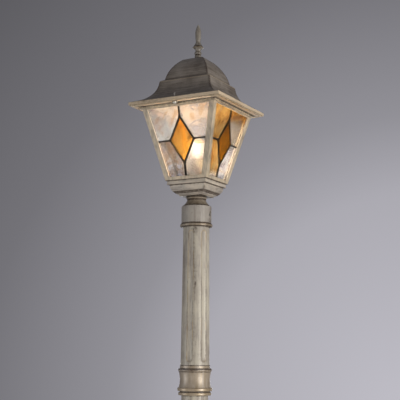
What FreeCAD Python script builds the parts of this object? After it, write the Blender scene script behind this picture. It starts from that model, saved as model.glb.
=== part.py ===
import FreeCAD, Part
import math
import os
from types import SimpleNamespace

import Sketcher

# A garden lantern: a tapered square lantern with leaded glass under a bell roof, on a fluted
# post of two equal lengths that stands on a round foot. The origin is the middle of the foot's
# underside, +Z is up and the front of the lantern looks towards -Y. Sizes are in millimetres.

DRIVING_SIZES = {
    # Round foot, a hollow casting with a flange for ground bolts
    "foot_diameter": 156,
    "foot_flange_height": 10,
    "foot_edge_round": 4,
    "foot_bell_diameter": 104,
    "foot_bell_radius": 42,
    "foot_neck_proud": 3,
    "foot_neck_height": 50,
    "foot_bead_proud": 3,
    "foot_bead_height": 9,
    "foot_height": 78,
    "foot_wall": 4,
    "foot_web": 8,
    "bolt_circle_diameter": 130,
    "bolt_hole_diameter": 9,
    "bolt_count": 3,
    # Post lengths, two equal fluted tubes
    "post_length": 299,
    "post_top_diameter": 51,
    "post_foot_diameter": 56,
    "post_wall": 4,
    "flute_count": 6,
    "flute_radius": 10,
    "flute_depth": 1.8,
    "flute_foot_margin": 6.5,
    "flute_top_margin": 40,
    "flute_turn": -85,
    "socket_depth": 32,
    "spigot_length": 22,
    "cable_bore_diameter": 16,
    "fit_gap": 0.3,
    # Collar between the two post lengths
    "collar_height": 57,
    "collar_wall": 3.13,
    "collar_foot_bead_proud": 2.6,
    "collar_foot_bead_height": 6.4,
    "collar_groove_height": 1.6,
    "collar_bead_proud": 4.4,
    "collar_bead_height": 7,
    "collar_waist_step": 0.3,
    "collar_waist_radius": 52,
    "collar_lip_proud": 1.2,
    "collar_lip_height": 6.5,
    "collar_band_proud": 1,
    "collar_band_height": 6,
    "collar_web": 8,
    "bead_round": 2.2,
    # Collar that carries the lantern
    "head_collar_height": 61,
    "ring_proud": 2.3,
    "ring_height": 6.6,
    "ring_round": 2.4,
    "sleeve_wall": 3.43,
    "sleeve_height": 42,
    "sleeve_chamfer": 1.4,
    "cove_radius": 24,
    "neck_diameter": 36.4,
    "neck_height": 54.4,
    "neck_bead_diameter": 41,
    "neck_bead_round": 3.4,
    "neck_web": 7,
    "neck_cavity_diameter": 26,
    "grub_screw_diameter": 5,
    "grub_screw_height": 24,
    "grub_screw_count": 3,
    "grub_screw_socket": 2.5,
    "grub_screw_socket_depth": 2,
    # Square tray under the cage
    "tray_height": 28.5,
    "tray_foot_width": 50.6,
    "tray_foot_lip": 2.5,
    "tray_bowl_foot_width": 54.4,
    "tray_bowl_width": 78.4,
    "tray_bowl_height": 19.5,
    "tray_bowl_radius": 22,
    "tray_band_width": 85.4,
    "tray_band_foot": 20.8,
    "tray_wall": 3,
    "tray_floor": 4,
    # Cage, one casting with four windows and a cornice
    "cage_foot_width": 90.6,
    "cage_head_width": 160.6,
    "cage_height": 141,
    "cornice_overhang": 17.7,
    "cornice_height": 8.5,
    "cornice_edge": 4.6,
    "cornice_rim_width": 3,
    "cornice_soffit_thickness": 2.9,
    "bed_mould_width": 4,
    "bed_mould_height": 3,
    "post_flange_width": 11,
    "post_flange_thickness": 2.6,
    "bottom_rail_height": 6.8,
    "top_rail_height": 2.6,
    "rebate_lip": 1.6,
    "cage_floor": 4,
    "cage_floor_opening": 77,
    "cage_screw_spacing": 61,
    "cage_screw_diameter": 3.8,
    "cage_screw_head_diameter": 7,
    "cage_screw_head_height": 2.6,
    "cage_screw_length": 14,
    "tray_boss_diameter": 9,
    # Leaded glass
    "glass_thickness": 3,
    "glass_gap": 0.2,
    "pane_seat": 3.5,
    "pane_headroom": 3.5,
    "came_face": 3.2,
    "came_heart": 1.2,
    "came_thickness": 4.4,
    "diamond_width": 52,
    "diamond_height": 90.6,
    "diamond_centre": 77.3,
    # Bell roof
    "eave_lip_thickness": 1.4,
    "eave_lip_height": 6,
    "eave_overlap": 3,
    "roof_seat_gap": 0.6,
    "roof_seat_width": 14,
    "skirt_sweep_width": 114.2,
    "skirt_sweep_height": 43.7,
    "skirt_radius": 47,
    "ledge_width": 111.6,
    "ledge_height": 51,
    "dome_foot_width": 96.4,
    "dome_foot_height": 55.5,
    "dome_radius": 78,
    "crown_width": 45,
    "crown_height": 100.3,
    "cap_width": 19,
    "roof_height": 105.5,
    "roof_wall": 2.6,
    "roof_screw_diameter": 4,
    "roof_screw_inset": 7,
    "roof_screw_head_diameter": 8.4,
    "roof_screw_head_height": 3.2,
    "roof_screw_boss_diameter": 11,
    "roof_screw_boss_drop": 6.4,
    "roof_screw_tip": 6,
    # Finial on the roof
    "finial_height": 71.5,
    "finial_foot_diameter": 13.2,
    "finial_foot_height": 6,
    "finial_ring_diameter": 14.6,
    "finial_ring_foot": 8.2,
    "finial_ring_top": 14.4,
    "finial_neck_diameter": 10.8,
    "finial_neck_height": 16.8,
    "finial_bell_diameter": 22.6,
    "finial_bell_height": 22.6,
    "finial_bell_under_radius": 7,
    "finial_bell_radius": 45,
    "finial_waist_diameter": 9,
    "finial_waist_height": 35.5,
    "finial_bud_diameter": 11.6,
    "finial_bud_height": 49.5,
    "finial_bud_radius": 80,
    "finial_point_radius": 37,
    "finial_tip_diameter": 1.4,
    "finial_stud_diameter": 6,
    "finial_nut_width": 10,
    "finial_nut_height": 5,
    "finial_stud_tip": 3,
    # Lampholder, lamp and the hollow nipple that clamps the lantern to its collar
    "nipple_diameter": 10,
    "nipple_bore": 7,
    "nipple_tail": 3,
    "nipple_nut_width": 14,
    "nipple_nut_height": 4,
    "nipple_grip": 8,
    "holder_stand": 22,
    "holder_diameter": 41,
    "holder_height": 51.6,
    "holder_floor": 18,
    "holder_edge_round": 3,
    "holder_mouth_diameter": 33,
    "holder_mouth_depth": 7,
    "shell_outer_diameter": 28.6,
    "shell_wall": 0.6,
    "shell_height": 21,
    "contact_diameter": 9,
    "contact_height": 2.5,
    "lamp_cap_diameter": 26.4,
    "lamp_cap_height": 23,
    "lamp_contact_diameter": 12,
    "lamp_contact_height": 4,
    "lamp_globe_diameter": 45,
    "lamp_globe_centre": 55.5,
}

doc = FreeCAD.newDocument("GardenLantern")
sheet = doc.addObject("Spreadsheet::Sheet", "Sizes")
for row, (alias, number) in enumerate(DRIVING_SIZES.items(), start=1):
    sheet.set("A%d" % row, alias)
    sheet.set("B%d" % row, str(number))
    sheet.setAlias("B%d" % row, alias)
doc.recompute()


class Size:
    """A size: its present value and the sheet expression that drives it."""

    def __init__(self, value, text):
        self.value = float(value)
        self.text = text

    def __add__(self, other):
        other = as_size(other)
        return Size(self.value + other.value, "(%s + %s)" % (self.text, other.text))

    def __sub__(self, other):
        other = as_size(other)
        return Size(self.value - other.value, "(%s - %s)" % (self.text, other.text))

    def __mul__(self, other):
        other = as_size(other)
        return Size(self.value * other.value, "(%s * %s)" % (self.text, other.text))

    def __truediv__(self, other):
        other = as_size(other)
        return Size(self.value / other.value, "(%s / %s)" % (self.text, other.text))

    def __neg__(self):
        return Size(-self.value, "(0 - %s)" % self.text)

    def root(self):
        return Size(math.sqrt(self.value), "sqrt(%s)" % self.text)

    def magnitude(self):
        return self if self.value >= 0 else -self


def as_size(number):
    return number if isinstance(number, Size) else Size(number, repr(number))


dim = SimpleNamespace(**{alias: Size(sheet.get(alias), "Sizes." + alias) for alias in DRIVING_SIZES})
ZERO = as_size(0)
QUARTER_TURN = 90
FULL_TURN = 360
SIDES = ("front", "right", "rear", "left")
Z_AXIS = FreeCAD.Vector(0, 0, 1)


# Outlines: corners pinned to the sheet, joined by lines and arcs

class Corner:
    """A corner of an outline. bow is the radius of the edge that leaves it, positive where the
    centre lies to the left; smooth runs the outline on without a kink; free leaves the corner's
    place to the tangents, and its x and y are then only where it starts."""

    def __init__(self, x, y, bow=None, smooth=False, free=False):
        self.x = as_size(x)
        self.y = as_size(y)
        self.bow = None if bow is None else as_size(bow)
        self.smooth = smooth
        self.free = free

    def point(self):
        return FreeCAD.Vector(self.x.value, self.y.value, 0)


def arc_between(start, finish, bow):
    chord = finish - start
    middle = (start + finish) / 2
    rise = math.sqrt(bow * bow - chord.Length ** 2 / 4)
    left = FreeCAD.Vector(-chord.y, chord.x, 0).normalize()
    centre = middle + left * (rise if bow > 0 else -rise)
    first, last = (start, finish) if bow > 0 else (finish, start)
    circle = Part.Circle(centre, Z_AXIS, abs(bow))
    return Part.ArcOfCircle(circle, math.atan2(first.y - centre.y, first.x - centre.x),
                            math.atan2(last.y - centre.y, last.x - centre.x))


def hold(sketch, kind, places, size):
    """Adds a dimension whose value follows the sheet."""
    size = size.magnitude()
    number = sketch.addConstraint(Sketcher.Constraint(kind, *places, size.value))
    sketch.setExpression("Constraints[%d]" % number, size.text)


def pin_corner(sketch, edge, end, corner):
    for kind, axis, size in (("DistanceX", -2, corner.x), ("DistanceY", -1, corner.y)):
        if abs(size.value) < 1e-9:
            sketch.addConstraint(Sketcher.Constraint("PointOnObject", edge, end, axis))
        elif size.value > 0:
            hold(sketch, kind, (-1, 1, edge, end), size)
        else:
            hold(sketch, kind, (edge, end, -1, 1), size)


def draw_outline(sketch, corners):
    edges = []
    for here, following in zip(corners, corners[1:] + corners[:1]):
        if here.bow is None:
            edge = sketch.addGeometry(Part.LineSegment(here.point(), following.point()))
            edges.append((edge, 1, 2))
            continue
        edge = sketch.addGeometry(arc_between(here.point(), following.point(), here.bow.value))
        hold(sketch, "Radius", (edge,), here.bow)
        edges.append((edge, 1, 2) if here.bow.value > 0 else (edge, 2, 1))
    for index, (edge, start, finish) in enumerate(edges):
        following = (index + 1) % len(edges)
        kind = "Tangent" if corners[following].smooth else "Coincident"
        next_edge, next_start, _ = edges[following]
        sketch.addConstraint(Sketcher.Constraint(kind, edge, finish, next_edge, next_start))
    for corner, (edge, start, _) in zip(corners, edges):
        if not corner.free:
            pin_corner(sketch, edge, start, corner)


def mirrored(side):
    """Closes the right-hand side of an outline, drawn upwards, with its mirror image."""
    left = []
    for index in reversed(range(len(side))):
        bow = side[index - 1].bow if index > 0 else None
        left.append(Corner(-side[index].x, side[index].y, bow, side[index].smooth, side[index].free))
    return side + left


def tangent_from(corner, before, touch, radius):
    """Where the line from a corner meets the arc that runs on from the line before-touch,
    with the arc's centre to the right of that line."""
    along = (touch.point() - before.point()).normalize()
    centre = touch.point() + FreeCAD.Vector(-along.y, along.x, 0) * radius.value
    away = corner.point() - centre
    angle = math.atan2(away.y, away.x) - math.acos(radius.value / away.Length)
    return centre + FreeCAD.Vector(math.cos(angle), math.sin(angle), 0) * radius.value


# Bodies and the ways they are made

def new_body(label):
    return doc.addObject("PartDesign::Body", label)


def origin_feature(body, role):
    return next(feature for feature in body.Origin.OriginFeatures if feature.Role == role)


def outline_sketch(body, role, outlines, offset=None):
    sketch = body.newObject("Sketcher::SketchObject", body.Label + "_outline")
    sketch.AttachmentSupport = (origin_feature(body, role), [""])
    sketch.MapMode = "FlatFace"
    if offset is not None:
        sketch.AttachmentOffset = offset
    for corners in outlines:
        draw_outline(sketch, corners)
    return sketch


def turned(label, corners):
    """A piece turned about the Z axis from its half section."""
    body = new_body(label)
    turning = body.newObject("PartDesign::Revolution", label + "_turning")
    turning.Profile = outline_sketch(body, "XZ_Plane", [corners])
    turning.ReferenceAxis = (turning.Profile[0], ["V_Axis"])
    turning.Angle = FULL_TURN
    doc.recompute()
    return body


def extruded(body, kind, sketch, length, side_type="Symmetric"):
    """A Pad or Pocket of a sketch, to both sides of its plane unless told otherwise."""
    feature = body.newObject("PartDesign::" + kind, body.Label + "_" + kind.lower())
    feature.Profile = sketch
    feature.SideType = side_type
    feature.setExpression("Length", length.text)
    doc.recompute()
    return feature


def ringed(body, features, count):
    """Repeats features evenly about the Z axis."""
    pattern = body.newObject("PartDesign::PolarPattern", body.Label + "_ring")
    pattern.Originals = features
    pattern.Axis = (origin_feature(body, "Z_Axis"), [""])
    pattern.Angle = FULL_TURN
    if isinstance(count, Size):
        pattern.setExpression("Occurrences", count.text)
    else:
        pattern.Occurrences = count
    body.Tip = pattern
    doc.recompute()
    return pattern


def primitive(body, kind, place, **sizes):
    feature = body.newObject("PartDesign::" + kind, body.Label + "_" + kind.lower())
    feature.Placement = place
    for name, size in sizes.items():
        feature.setExpression(name, as_size(size).text)
    doc.recompute()
    return feature


def ring_of(body, kind, count, place, **sizes):
    """A primitive and its copies evenly round the Z axis."""
    return ringed(body, [primitive(body, kind, place, **sizes)], count)


def square_block(label, side, span):
    """A block with a square plan, all four sides of which follow one outline."""
    pads = []
    for role in ("XZ_Plane", "YZ_Plane"):
        body = new_body(label + "_" + role[:2].lower())
        extruded(body, "Pad", outline_sketch(body, role, [mirrored(side)]), span)
        pads.append(body)
    return combined("Part::Common", label, *pads)


def combined(kind, label, base, tool):
    result = doc.addObject(kind, label)
    result.Base = base
    result.Tool = tool
    doc.recompute()
    return result


def fused(label, shapes):
    result = doc.addObject("Part::MultiFuse", label)
    result.Shapes = shapes
    doc.recompute()
    return result


def upright(label, x, y, foot, diameter, height):
    """A round bar on the Z direction, as a boss or to cut a hole."""
    bar = doc.addObject("Part::Cylinder", label)
    bar.setExpression("Radius", (diameter / 2).text)
    bar.setExpression("Height", height.text)
    bar.setExpression("Placement.Base.x", as_size(x).text)
    bar.setExpression("Placement.Base.y", as_size(y).text)
    bar.setExpression("Placement.Base.z", as_size(foot).text)
    return bar


def hex_nut(label, width, height, bore, foot):
    nut = doc.addObject("Part::Prism", label + "_blank")
    nut.Polygon = 6
    nut.setExpression("Circumradius", "%s / 2 / cos(30)" % width.text)
    nut.setExpression("Height", height.text)
    nut.setExpression("Placement.Base.z", foot.text)
    hole = upright(label + "_hole", 0, 0, foot, bore, height)
    return combined("Part::Cut", label, nut, hole)


def bulge(height, rise):
    """The radius of an arc that stands that far out over that height."""
    return (height * height / 4 + rise * rise) / 2 / rise


def turn_place(x, z, turn, lean=0):
    """A place at radius x and height z, turned about the Z axis and leaning towards it."""
    around = FreeCAD.Rotation(Z_AXIS, turn)
    lean_in = FreeCAD.Rotation(FreeCAD.Vector(0, 1, 0), lean)
    return FreeCAD.Placement(around.multVec(FreeCAD.Vector(x, 0, z)), around.multiply(lean_in))


# Levels, each from the one below

lower_post_foot = dim.foot_height
collar_foot = lower_post_foot + dim.post_length - dim.socket_depth
upper_post_foot = collar_foot + dim.collar_height
head_collar_foot = upper_post_foot + dim.post_length - dim.socket_depth
tray_foot = head_collar_foot + dim.head_collar_height
cage_foot = tray_foot + dim.tray_height
roof_seat = cage_foot + dim.cage_height + dim.cornice_height
roof_top = roof_seat + dim.roof_height
post_taper = (dim.post_foot_diameter - dim.post_top_diameter) / 2 / dim.post_length
spigot_radius = dim.post_foot_diameter / 2 - dim.post_wall - post_taper * dim.spigot_length - dim.fit_gap
socket_radius = dim.post_top_diameter / 2 + post_taper * dim.socket_depth + dim.fit_gap
sleeve_radius = socket_radius + dim.sleeve_wall
cable_radius = dim.cable_bore_diameter / 2


# Foot and post

def make_foot():
    outer = dim.foot_diameter / 2
    bell = dim.foot_bell_diameter / 2
    neck = dim.post_foot_diameter / 2 + dim.foot_neck_proud
    flange = dim.foot_flange_height
    top = dim.foot_height
    bead_foot = dim.foot_neck_height + dim.foot_bead_height / 2
    bead_top = bead_foot + dim.foot_bead_height
    bead_bow = bulge(dim.foot_bead_height, dim.foot_bead_proud)
    foot = turned("foot", [
        Corner(outer, ZERO),
        Corner(outer, flange - dim.foot_edge_round, bow=dim.foot_edge_round),
        Corner(outer - dim.foot_edge_round, flange),
        Corner(bell, flange, bow=-dim.foot_bell_radius),
        Corner(neck, dim.foot_neck_height),
        Corner(neck, bead_foot, bow=bead_bow),
        Corner(neck, bead_top),
        Corner(neck, top),
        Corner(spigot_radius, top),
        Corner(spigot_radius, top + dim.spigot_length),
        Corner(cable_radius, top + dim.spigot_length),
        Corner(cable_radius, top - dim.foot_web),
        Corner(neck - dim.foot_wall, top - dim.foot_web),
        Corner(neck - dim.foot_wall, dim.foot_neck_height, bow=dim.foot_bell_radius),
        Corner(bell - dim.foot_wall, flange),
        Corner(bell - dim.foot_wall, ZERO),
    ])
    hole = outline_sketch(foot, "XY_Plane", [])
    centre = Corner(dim.bolt_circle_diameter / 2, ZERO)
    radius = dim.bolt_hole_diameter / 2
    circle = hole.addGeometry(Part.Circle(centre.point(), Z_AXIS, radius.value))
    hold(hole, "Radius", (circle,), radius)
    pin_corner(hole, circle, 3, centre)
    drilled = extruded(foot, "Pocket", hole, flange * 2)
    ringed(foot, [drilled], dim.bolt_count)
    return foot


def make_post(label, foot):
    """One fluted length: a tapered tube with round-ended flutes that keep their depth."""
    wide = dim.post_foot_diameter / 2
    slim = dim.post_top_diameter / 2
    post = turned(label, [
        Corner(wide, foot),
        Corner(slim, foot + dim.post_length),
        Corner(slim - dim.post_wall, foot + dim.post_length),
        Corner(wide - dim.post_wall, foot),
    ])
    half_width = (dim.flute_radius * dim.flute_depth * 2 - dim.flute_depth * dim.flute_depth).root()
    low = dim.flute_foot_margin + half_width
    run = dim.post_length - dim.flute_top_margin - half_width - low
    lean = -math.degrees(math.atan(post_taper.value))
    stand_off = dim.flute_radius - dim.flute_depth
    for kind, height, sizes in (("SubtractiveCylinder", low, {"Height": run}),
                                ("SubtractiveSphere", low, {}),
                                ("SubtractiveSphere", low + run, {})):
        radius = wide - post_taper * height + stand_off
        place = turn_place(radius.value, (foot + height).value, dim.flute_turn.value, lean)
        ring_of(post, kind, dim.flute_count, place, Radius=dim.flute_radius, **sizes)
    return post


def make_middle_collar():
    """The cast collar: a socket for the lower length below, a spigot for the upper one above."""
    groove = socket_radius + dim.collar_wall
    foot_bead = groove + dim.collar_foot_bead_proud
    bead = groove + dim.collar_bead_proud
    edge = dim.bead_round
    waist = bead - edge - dim.collar_waist_step
    lip = waist + dim.collar_lip_proud
    band = dim.post_foot_diameter / 2 + dim.collar_band_proud
    groove_foot = collar_foot + dim.collar_foot_bead_height
    bead_foot = groove_foot + dim.collar_groove_height
    bead_top = bead_foot + dim.collar_bead_height
    lip_top = upper_post_foot - dim.collar_band_height
    lip_foot = lip_top - dim.collar_lip_height
    socket_top = collar_foot + dim.socket_depth
    return turned("middle_collar", [
        Corner(foot_bead - edge, collar_foot, bow=edge),
        Corner(foot_bead, collar_foot + edge),
        Corner(foot_bead, groove_foot - edge, bow=edge),
        Corner(foot_bead - edge, groove_foot),
        Corner(groove, groove_foot),
        Corner(groove, bead_foot),
        Corner(bead - edge, bead_foot, bow=edge),
        Corner(bead, bead_foot + edge),
        Corner(bead, bead_top - edge, bow=edge),
        Corner(bead - edge, bead_top),
        Corner(waist, bead_top, bow=-dim.collar_waist_radius),
        Corner(waist, lip_foot),
        Corner(lip, lip_foot + edge),
        Corner(lip, lip_top - edge, bow=edge),
        Corner(lip - edge, lip_top),
        Corner(band, lip_top),
        Corner(band, upper_post_foot),
        Corner(spigot_radius, upper_post_foot),
        Corner(spigot_radius, upper_post_foot + dim.spigot_length),
        Corner(spigot_radius - dim.post_wall, upper_post_foot + dim.spigot_length),
        Corner(spigot_radius - dim.post_wall, socket_top + dim.collar_web),
        Corner(cable_radius, socket_top + dim.collar_web),
        Corner(cable_radius, socket_top),
        Corner(socket_radius, socket_top),
        Corner(socket_radius, collar_foot),
    ])


def make_head_collar():
    """Sleeve, cove and neck in one casting, with three tapped holes for the grub screws."""
    foot = head_collar_foot
    sleeve = sleeve_radius
    ring = sleeve + dim.ring_proud
    neck = dim.neck_diameter / 2
    bead = dim.neck_bead_diameter / 2
    cavity = dim.neck_cavity_diameter / 2
    top = tray_foot
    bead_edge = dim.neck_bead_round
    socket_top = foot + dim.socket_depth
    web_foot = top - dim.neck_web
    collar = turned("head_collar", [
        Corner(ring - dim.ring_round, foot, bow=dim.ring_round),
        Corner(ring, foot + dim.ring_round),
        Corner(ring, foot + dim.ring_height - dim.ring_round, bow=dim.ring_round),
        Corner(ring - dim.ring_round, foot + dim.ring_height),
        Corner(sleeve, foot + dim.ring_height),
        Corner(sleeve, foot + dim.sleeve_height - dim.sleeve_chamfer),
        Corner(sleeve - dim.sleeve_chamfer, foot + dim.sleeve_height, bow=-dim.cove_radius),
        Corner(neck, foot + dim.neck_height),
        Corner(bead, top - bead_edge, bow=bead_edge),
        Corner(bead - bead_edge, top),
        Corner(dim.nipple_diameter / 2 + dim.fit_gap, top),
        Corner(dim.nipple_diameter / 2 + dim.fit_gap, web_foot),
        Corner(cavity, web_foot),
        Corner(cavity, socket_top),
        Corner(socket_radius, socket_top),
        Corner(socket_radius, foot),
    ])
    place = turn_place((socket_radius - dim.post_wall).value, (foot + dim.grub_screw_height).value, 0,
                       QUARTER_TURN)
    ring_of(collar, "SubtractiveCylinder", dim.grub_screw_count, place,
            Radius=dim.grub_screw_diameter / 2 + dim.fit_gap / 2, Height=sleeve)
    return collar


def make_grub_screws():
    """Three socket grub screws that pinch the post inside the head collar."""
    post_at_screw = dim.post_top_diameter / 2 + post_taper * (dim.socket_depth - dim.grub_screw_height)
    tip = post_at_screw + dim.fit_gap / 2
    height = head_collar_foot + dim.grub_screw_height
    length = sleeve_radius - tip
    screws = new_body("grub_screws")
    ring_of(screws, "AdditiveCylinder", dim.grub_screw_count,
            turn_place(tip.value, height.value, 0, QUARTER_TURN),
            Radius=dim.grub_screw_diameter / 2, Height=length)
    socket_foot = tip + length - dim.grub_screw_socket_depth
    ring_of(screws, "SubtractivePrism", dim.grub_screw_count,
            turn_place(socket_foot.value, height.value, 0, QUARTER_TURN),
            Circumradius=dim.grub_screw_socket / 2, Height=dim.grub_screw_socket_depth)
    return screws


# Tray and cage

cage_half_foot = dim.cage_foot_width / 2
cage_half_head = dim.cage_head_width / 2
cage_spread = cage_half_head - cage_half_foot
cage_slant = (cage_spread * cage_spread + dim.cage_height * dim.cage_height).root()
lean_sine = cage_spread / cage_slant
lean_cosine = dim.cage_height / cage_slant
pane_slot = dim.glass_thickness + dim.glass_gap * 2
pane_depth = dim.post_flange_thickness + pane_slot / 2
cage_wall = (dim.post_flange_thickness + pane_slot + dim.rebate_lip) / lean_cosine
cornice_half = cage_half_head + dim.cornice_overhang
CAGE_LEAN = math.degrees(math.atan2(cage_spread.value, dim.cage_height.value))


def corner_bars(label, spacing, foot, diameter, height):
    """Four upright bars on the corners of a square."""
    half = spacing / 2
    bars = []
    for x, y in ((half, half), (-half, half), (-half, -half), (half, -half)):
        bars.append(upright("%s_%d" % (label, len(bars)), x, y, foot, diameter, height))
    return fused(label, bars)


def make_tray():
    """The square moulded tray: bowl, ledge and band outside, corner bosses inside."""
    foot = tray_foot
    span = dim.tray_band_width * 2
    outside = square_block("tray_outside", [
        Corner(dim.tray_foot_width / 2, foot),
        Corner(dim.tray_foot_width / 2, foot + dim.tray_foot_lip),
        Corner(dim.tray_bowl_foot_width / 2, foot + dim.tray_foot_lip, bow=dim.tray_bowl_radius),
        Corner(dim.tray_bowl_width / 2, foot + dim.tray_bowl_height),
        Corner(dim.tray_bowl_width / 2, foot + dim.tray_band_foot),
        Corner(dim.tray_band_width / 2, foot + dim.tray_band_foot),
        Corner(dim.tray_band_width / 2, cage_foot),
    ], span)
    floor = foot + dim.tray_floor
    hollow = square_block("tray_hollow", [
        Corner(dim.tray_bowl_foot_width / 2 - dim.tray_wall, floor, bow=dim.tray_bowl_radius),
        Corner(dim.tray_bowl_width / 2 - dim.tray_wall, floor + dim.tray_bowl_height - dim.tray_foot_lip),
        Corner(dim.tray_bowl_width / 2 - dim.tray_wall, cage_foot + dim.tray_floor),
    ], span)
    bosses = corner_bars("tray_bosses", dim.cage_screw_spacing, foot, dim.tray_boss_diameter,
                         dim.tray_height)
    screw_holes = corner_bars("tray_screw_holes", dim.cage_screw_spacing,
                              cage_foot + dim.cage_floor - dim.cage_screw_length,
                              dim.cage_screw_diameter + dim.fit_gap, dim.cage_screw_length)
    nipple_way = dim.nipple_diameter + dim.fit_gap * 2
    nipple_hole = upright("tray_nipple_hole", 0, 0, foot, nipple_way, dim.tray_height)
    core = combined("Part::Cut", "tray_core", hollow, bosses)
    shell = combined("Part::Cut", "tray_shell", outside, core)
    return combined("Part::Cut", "tray", shell, fused("tray_holes", [screw_holes, nipple_hole]))


def face_place(depth=ZERO):
    """The plane of the front face, or one that many millimetres inside it: local X runs along
    the face, local Y up its slope from the cage's foot and local Z outwards."""
    back = -cage_half_foot + depth * lean_cosine
    height = cage_foot + depth * lean_sine
    base = FreeCAD.Vector(0, back.value, height.value)
    return FreeCAD.Placement(base, FreeCAD.Rotation(FreeCAD.Vector(1, 0, 0), QUARTER_TURN + CAGE_LEAN))


def face_half(height):
    """Half the face's width at a height up its slope."""
    return cage_half_foot + lean_sine * height


def trapezium(margin, low, high):
    """An outline on the face, parallel to its edges and that far inside them."""
    return [
        Corner(face_half(low) - margin, low),
        Corner(face_half(high) - margin, high),
        Corner(-face_half(high) + margin, high),
        Corner(-face_half(low) + margin, low),
    ]


window_foot = dim.bottom_rail_height
window_head = cage_slant - dim.top_rail_height
slot_foot = window_foot - dim.pane_seat
slot_margin = dim.post_flange_width - dim.pane_seat
open_head = cage_slant + dim.cornice_height * 2


def face_cutter(label, outline, depth, side_type="Symmetric", thickness=None):
    """Cuts one shape into all four faces."""
    body = new_body(label)
    sketch = outline_sketch(body, "XY_Plane", [outline], face_place(depth))
    pad = extruded(body, "Pad", sketch, thickness, side_type)
    pad.Reversed = side_type != "Symmetric"
    ringed(body, [pad], len(SIDES))
    return body


def roof_screw_bars(label, foot, diameter, height):
    """Two upright bars at the roof screws, in front and behind."""
    out = cornice_half - dim.roof_screw_inset
    return fused(label, [upright(label + "_front", 0, -out, foot, diameter, height),
                         upright(label + "_rear", 0, out, foot, diameter, height)])


def make_cage():
    """Four angle posts, two rails, the floor's corner gussets and the cornice in one casting.
    The cornice has a bed mould at the posts and a rim at its edge. The panes drop into slots that
    are open at the top."""
    head = cage_foot + dim.cage_height
    span = cornice_half * 4
    bed_half = cage_half_head + dim.bed_mould_width
    rim_half = cornice_half - dim.cornice_rim_width
    rim_foot = roof_seat - dim.cornice_edge
    outside = square_block("cage_outside", [
        Corner(cage_half_foot, cage_foot),
        Corner(cage_half_head, head),
        Corner(bed_half, head),
        Corner(bed_half, head + dim.bed_mould_height),
        Corner(rim_half, roof_seat - dim.cornice_soffit_thickness),
        Corner(rim_half, rim_foot),
        Corner(cornice_half, rim_foot),
        Corner(cornice_half, roof_seat),
    ], span)
    floor = dim.cage_floor
    above = dim.cage_height + dim.cornice_height * 2
    hollow = square_block("cage_hollow", [
        Corner(cage_half_foot + cage_spread / dim.cage_height * floor - cage_wall, cage_foot + floor),
        Corner(cage_half_foot + cage_spread / dim.cage_height * above - cage_wall, cage_foot + above),
    ], span)
    opening = upright("cage_floor_hole", 0, 0, cage_foot - floor, dim.cage_floor_opening, floor * 3)
    screw_holes = corner_bars("cage_screw_holes", dim.cage_screw_spacing, cage_foot - floor,
                              dim.cage_screw_diameter + dim.fit_gap * 2, floor * 3)
    windows = face_cutter("cage_windows", trapezium(dim.post_flange_width, window_foot, window_head),
                          pane_depth, thickness=cage_wall * 2)
    slots = face_cutter("cage_slots", trapezium(slot_margin, slot_foot, open_head), pane_depth,
                        thickness=pane_slot)
    way_in = trapezium(dim.post_flange_width, window_head - dim.cornice_height, open_head)
    ways_in = face_cutter("cage_ways_in", way_in, pane_depth, "One side", cage_wall * 2)
    cutters = fused("cage_cutters", [hollow, opening, screw_holes, windows, slots, ways_in])
    boss_height = dim.roof_screw_boss_drop
    boss_foot = roof_seat - boss_height
    bosses = roof_screw_bars("cornice_bosses", boss_foot, dim.roof_screw_boss_diameter, boss_height)
    screw_ways = roof_screw_bars("cornice_holes", boss_foot, dim.roof_screw_diameter + dim.fit_gap * 2,
                                 boss_height)
    frame = combined("Part::Cut", "cage_frame", outside, cutters)
    return combined("Part::Cut", "cage", fused("cage_with_bosses", [frame, bosses]), screw_ways)


def make_cage_screws():
    """Four pan-head screws that hold the cage's gussets down on the tray's bosses."""
    seat = cage_foot + dim.cage_floor
    heads = corner_bars("cage_screw_heads", dim.cage_screw_spacing, seat, dim.cage_screw_head_diameter,
                        dim.cage_screw_head_height)
    shanks = corner_bars("cage_screw_shanks", dim.cage_screw_spacing, seat - dim.cage_screw_length,
                         dim.cage_screw_diameter, dim.cage_screw_length)
    return fused("cage_screws", [heads, shanks])


# Leaded glass: one lead lattice, an amber diamond and four clear corner panes on each face

diamond_half = dim.diamond_width / 2
diamond_rise = dim.diamond_height / 2
diamond_edge = (diamond_half * diamond_half + diamond_rise * diamond_rise).root()
pane_margin = slot_margin + dim.glass_gap
pane_head = (dim.cage_height + dim.cornice_height - dim.pane_headroom) / lean_cosine


def diamond_outline(inset):
    """The diamond, inset from the middle lines of the lead round it."""
    half = diamond_half - inset * diamond_edge / diamond_rise
    rise = diamond_rise - inset * diamond_edge / diamond_half
    return [
        Corner(half, dim.diamond_centre),
        Corner(ZERO, dim.diamond_centre + rise),
        Corner(-half, dim.diamond_centre),
        Corner(ZERO, dim.diamond_centre - rise),
    ]


def corner_pane_outline(inset, across, up, margin, low, high):
    """One clear corner pane: across is 1 on the right of the face, up is 1 on the upper half."""
    middle = dim.diamond_centre
    grown = inset * diamond_edge / diamond_half / diamond_rise + 1
    level = middle + inset * up
    end = high if up > 0 else low
    near_stem = (grown - inset / diamond_half) * diamond_rise * up + middle
    near_arm = (grown - inset / diamond_rise) * diamond_half
    return [
        Corner(inset * across, end),
        Corner(inset * across, near_stem),
        Corner(near_arm * across, level),
        Corner((face_half(level) - margin) * across, level),
        Corner((face_half(end) - margin) * across, end),
    ]


CORNER_PANES = {"upper_left": (-1, 1), "upper_right": (1, 1), "lower_left": (-1, -1), "lower_right": (1, -1)}


def pane_place(turn):
    around = FreeCAD.Placement(FreeCAD.Vector(0, 0, 0), FreeCAD.Rotation(Z_AXIS, turn))
    return around.multiply(face_place(pane_depth))


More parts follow.
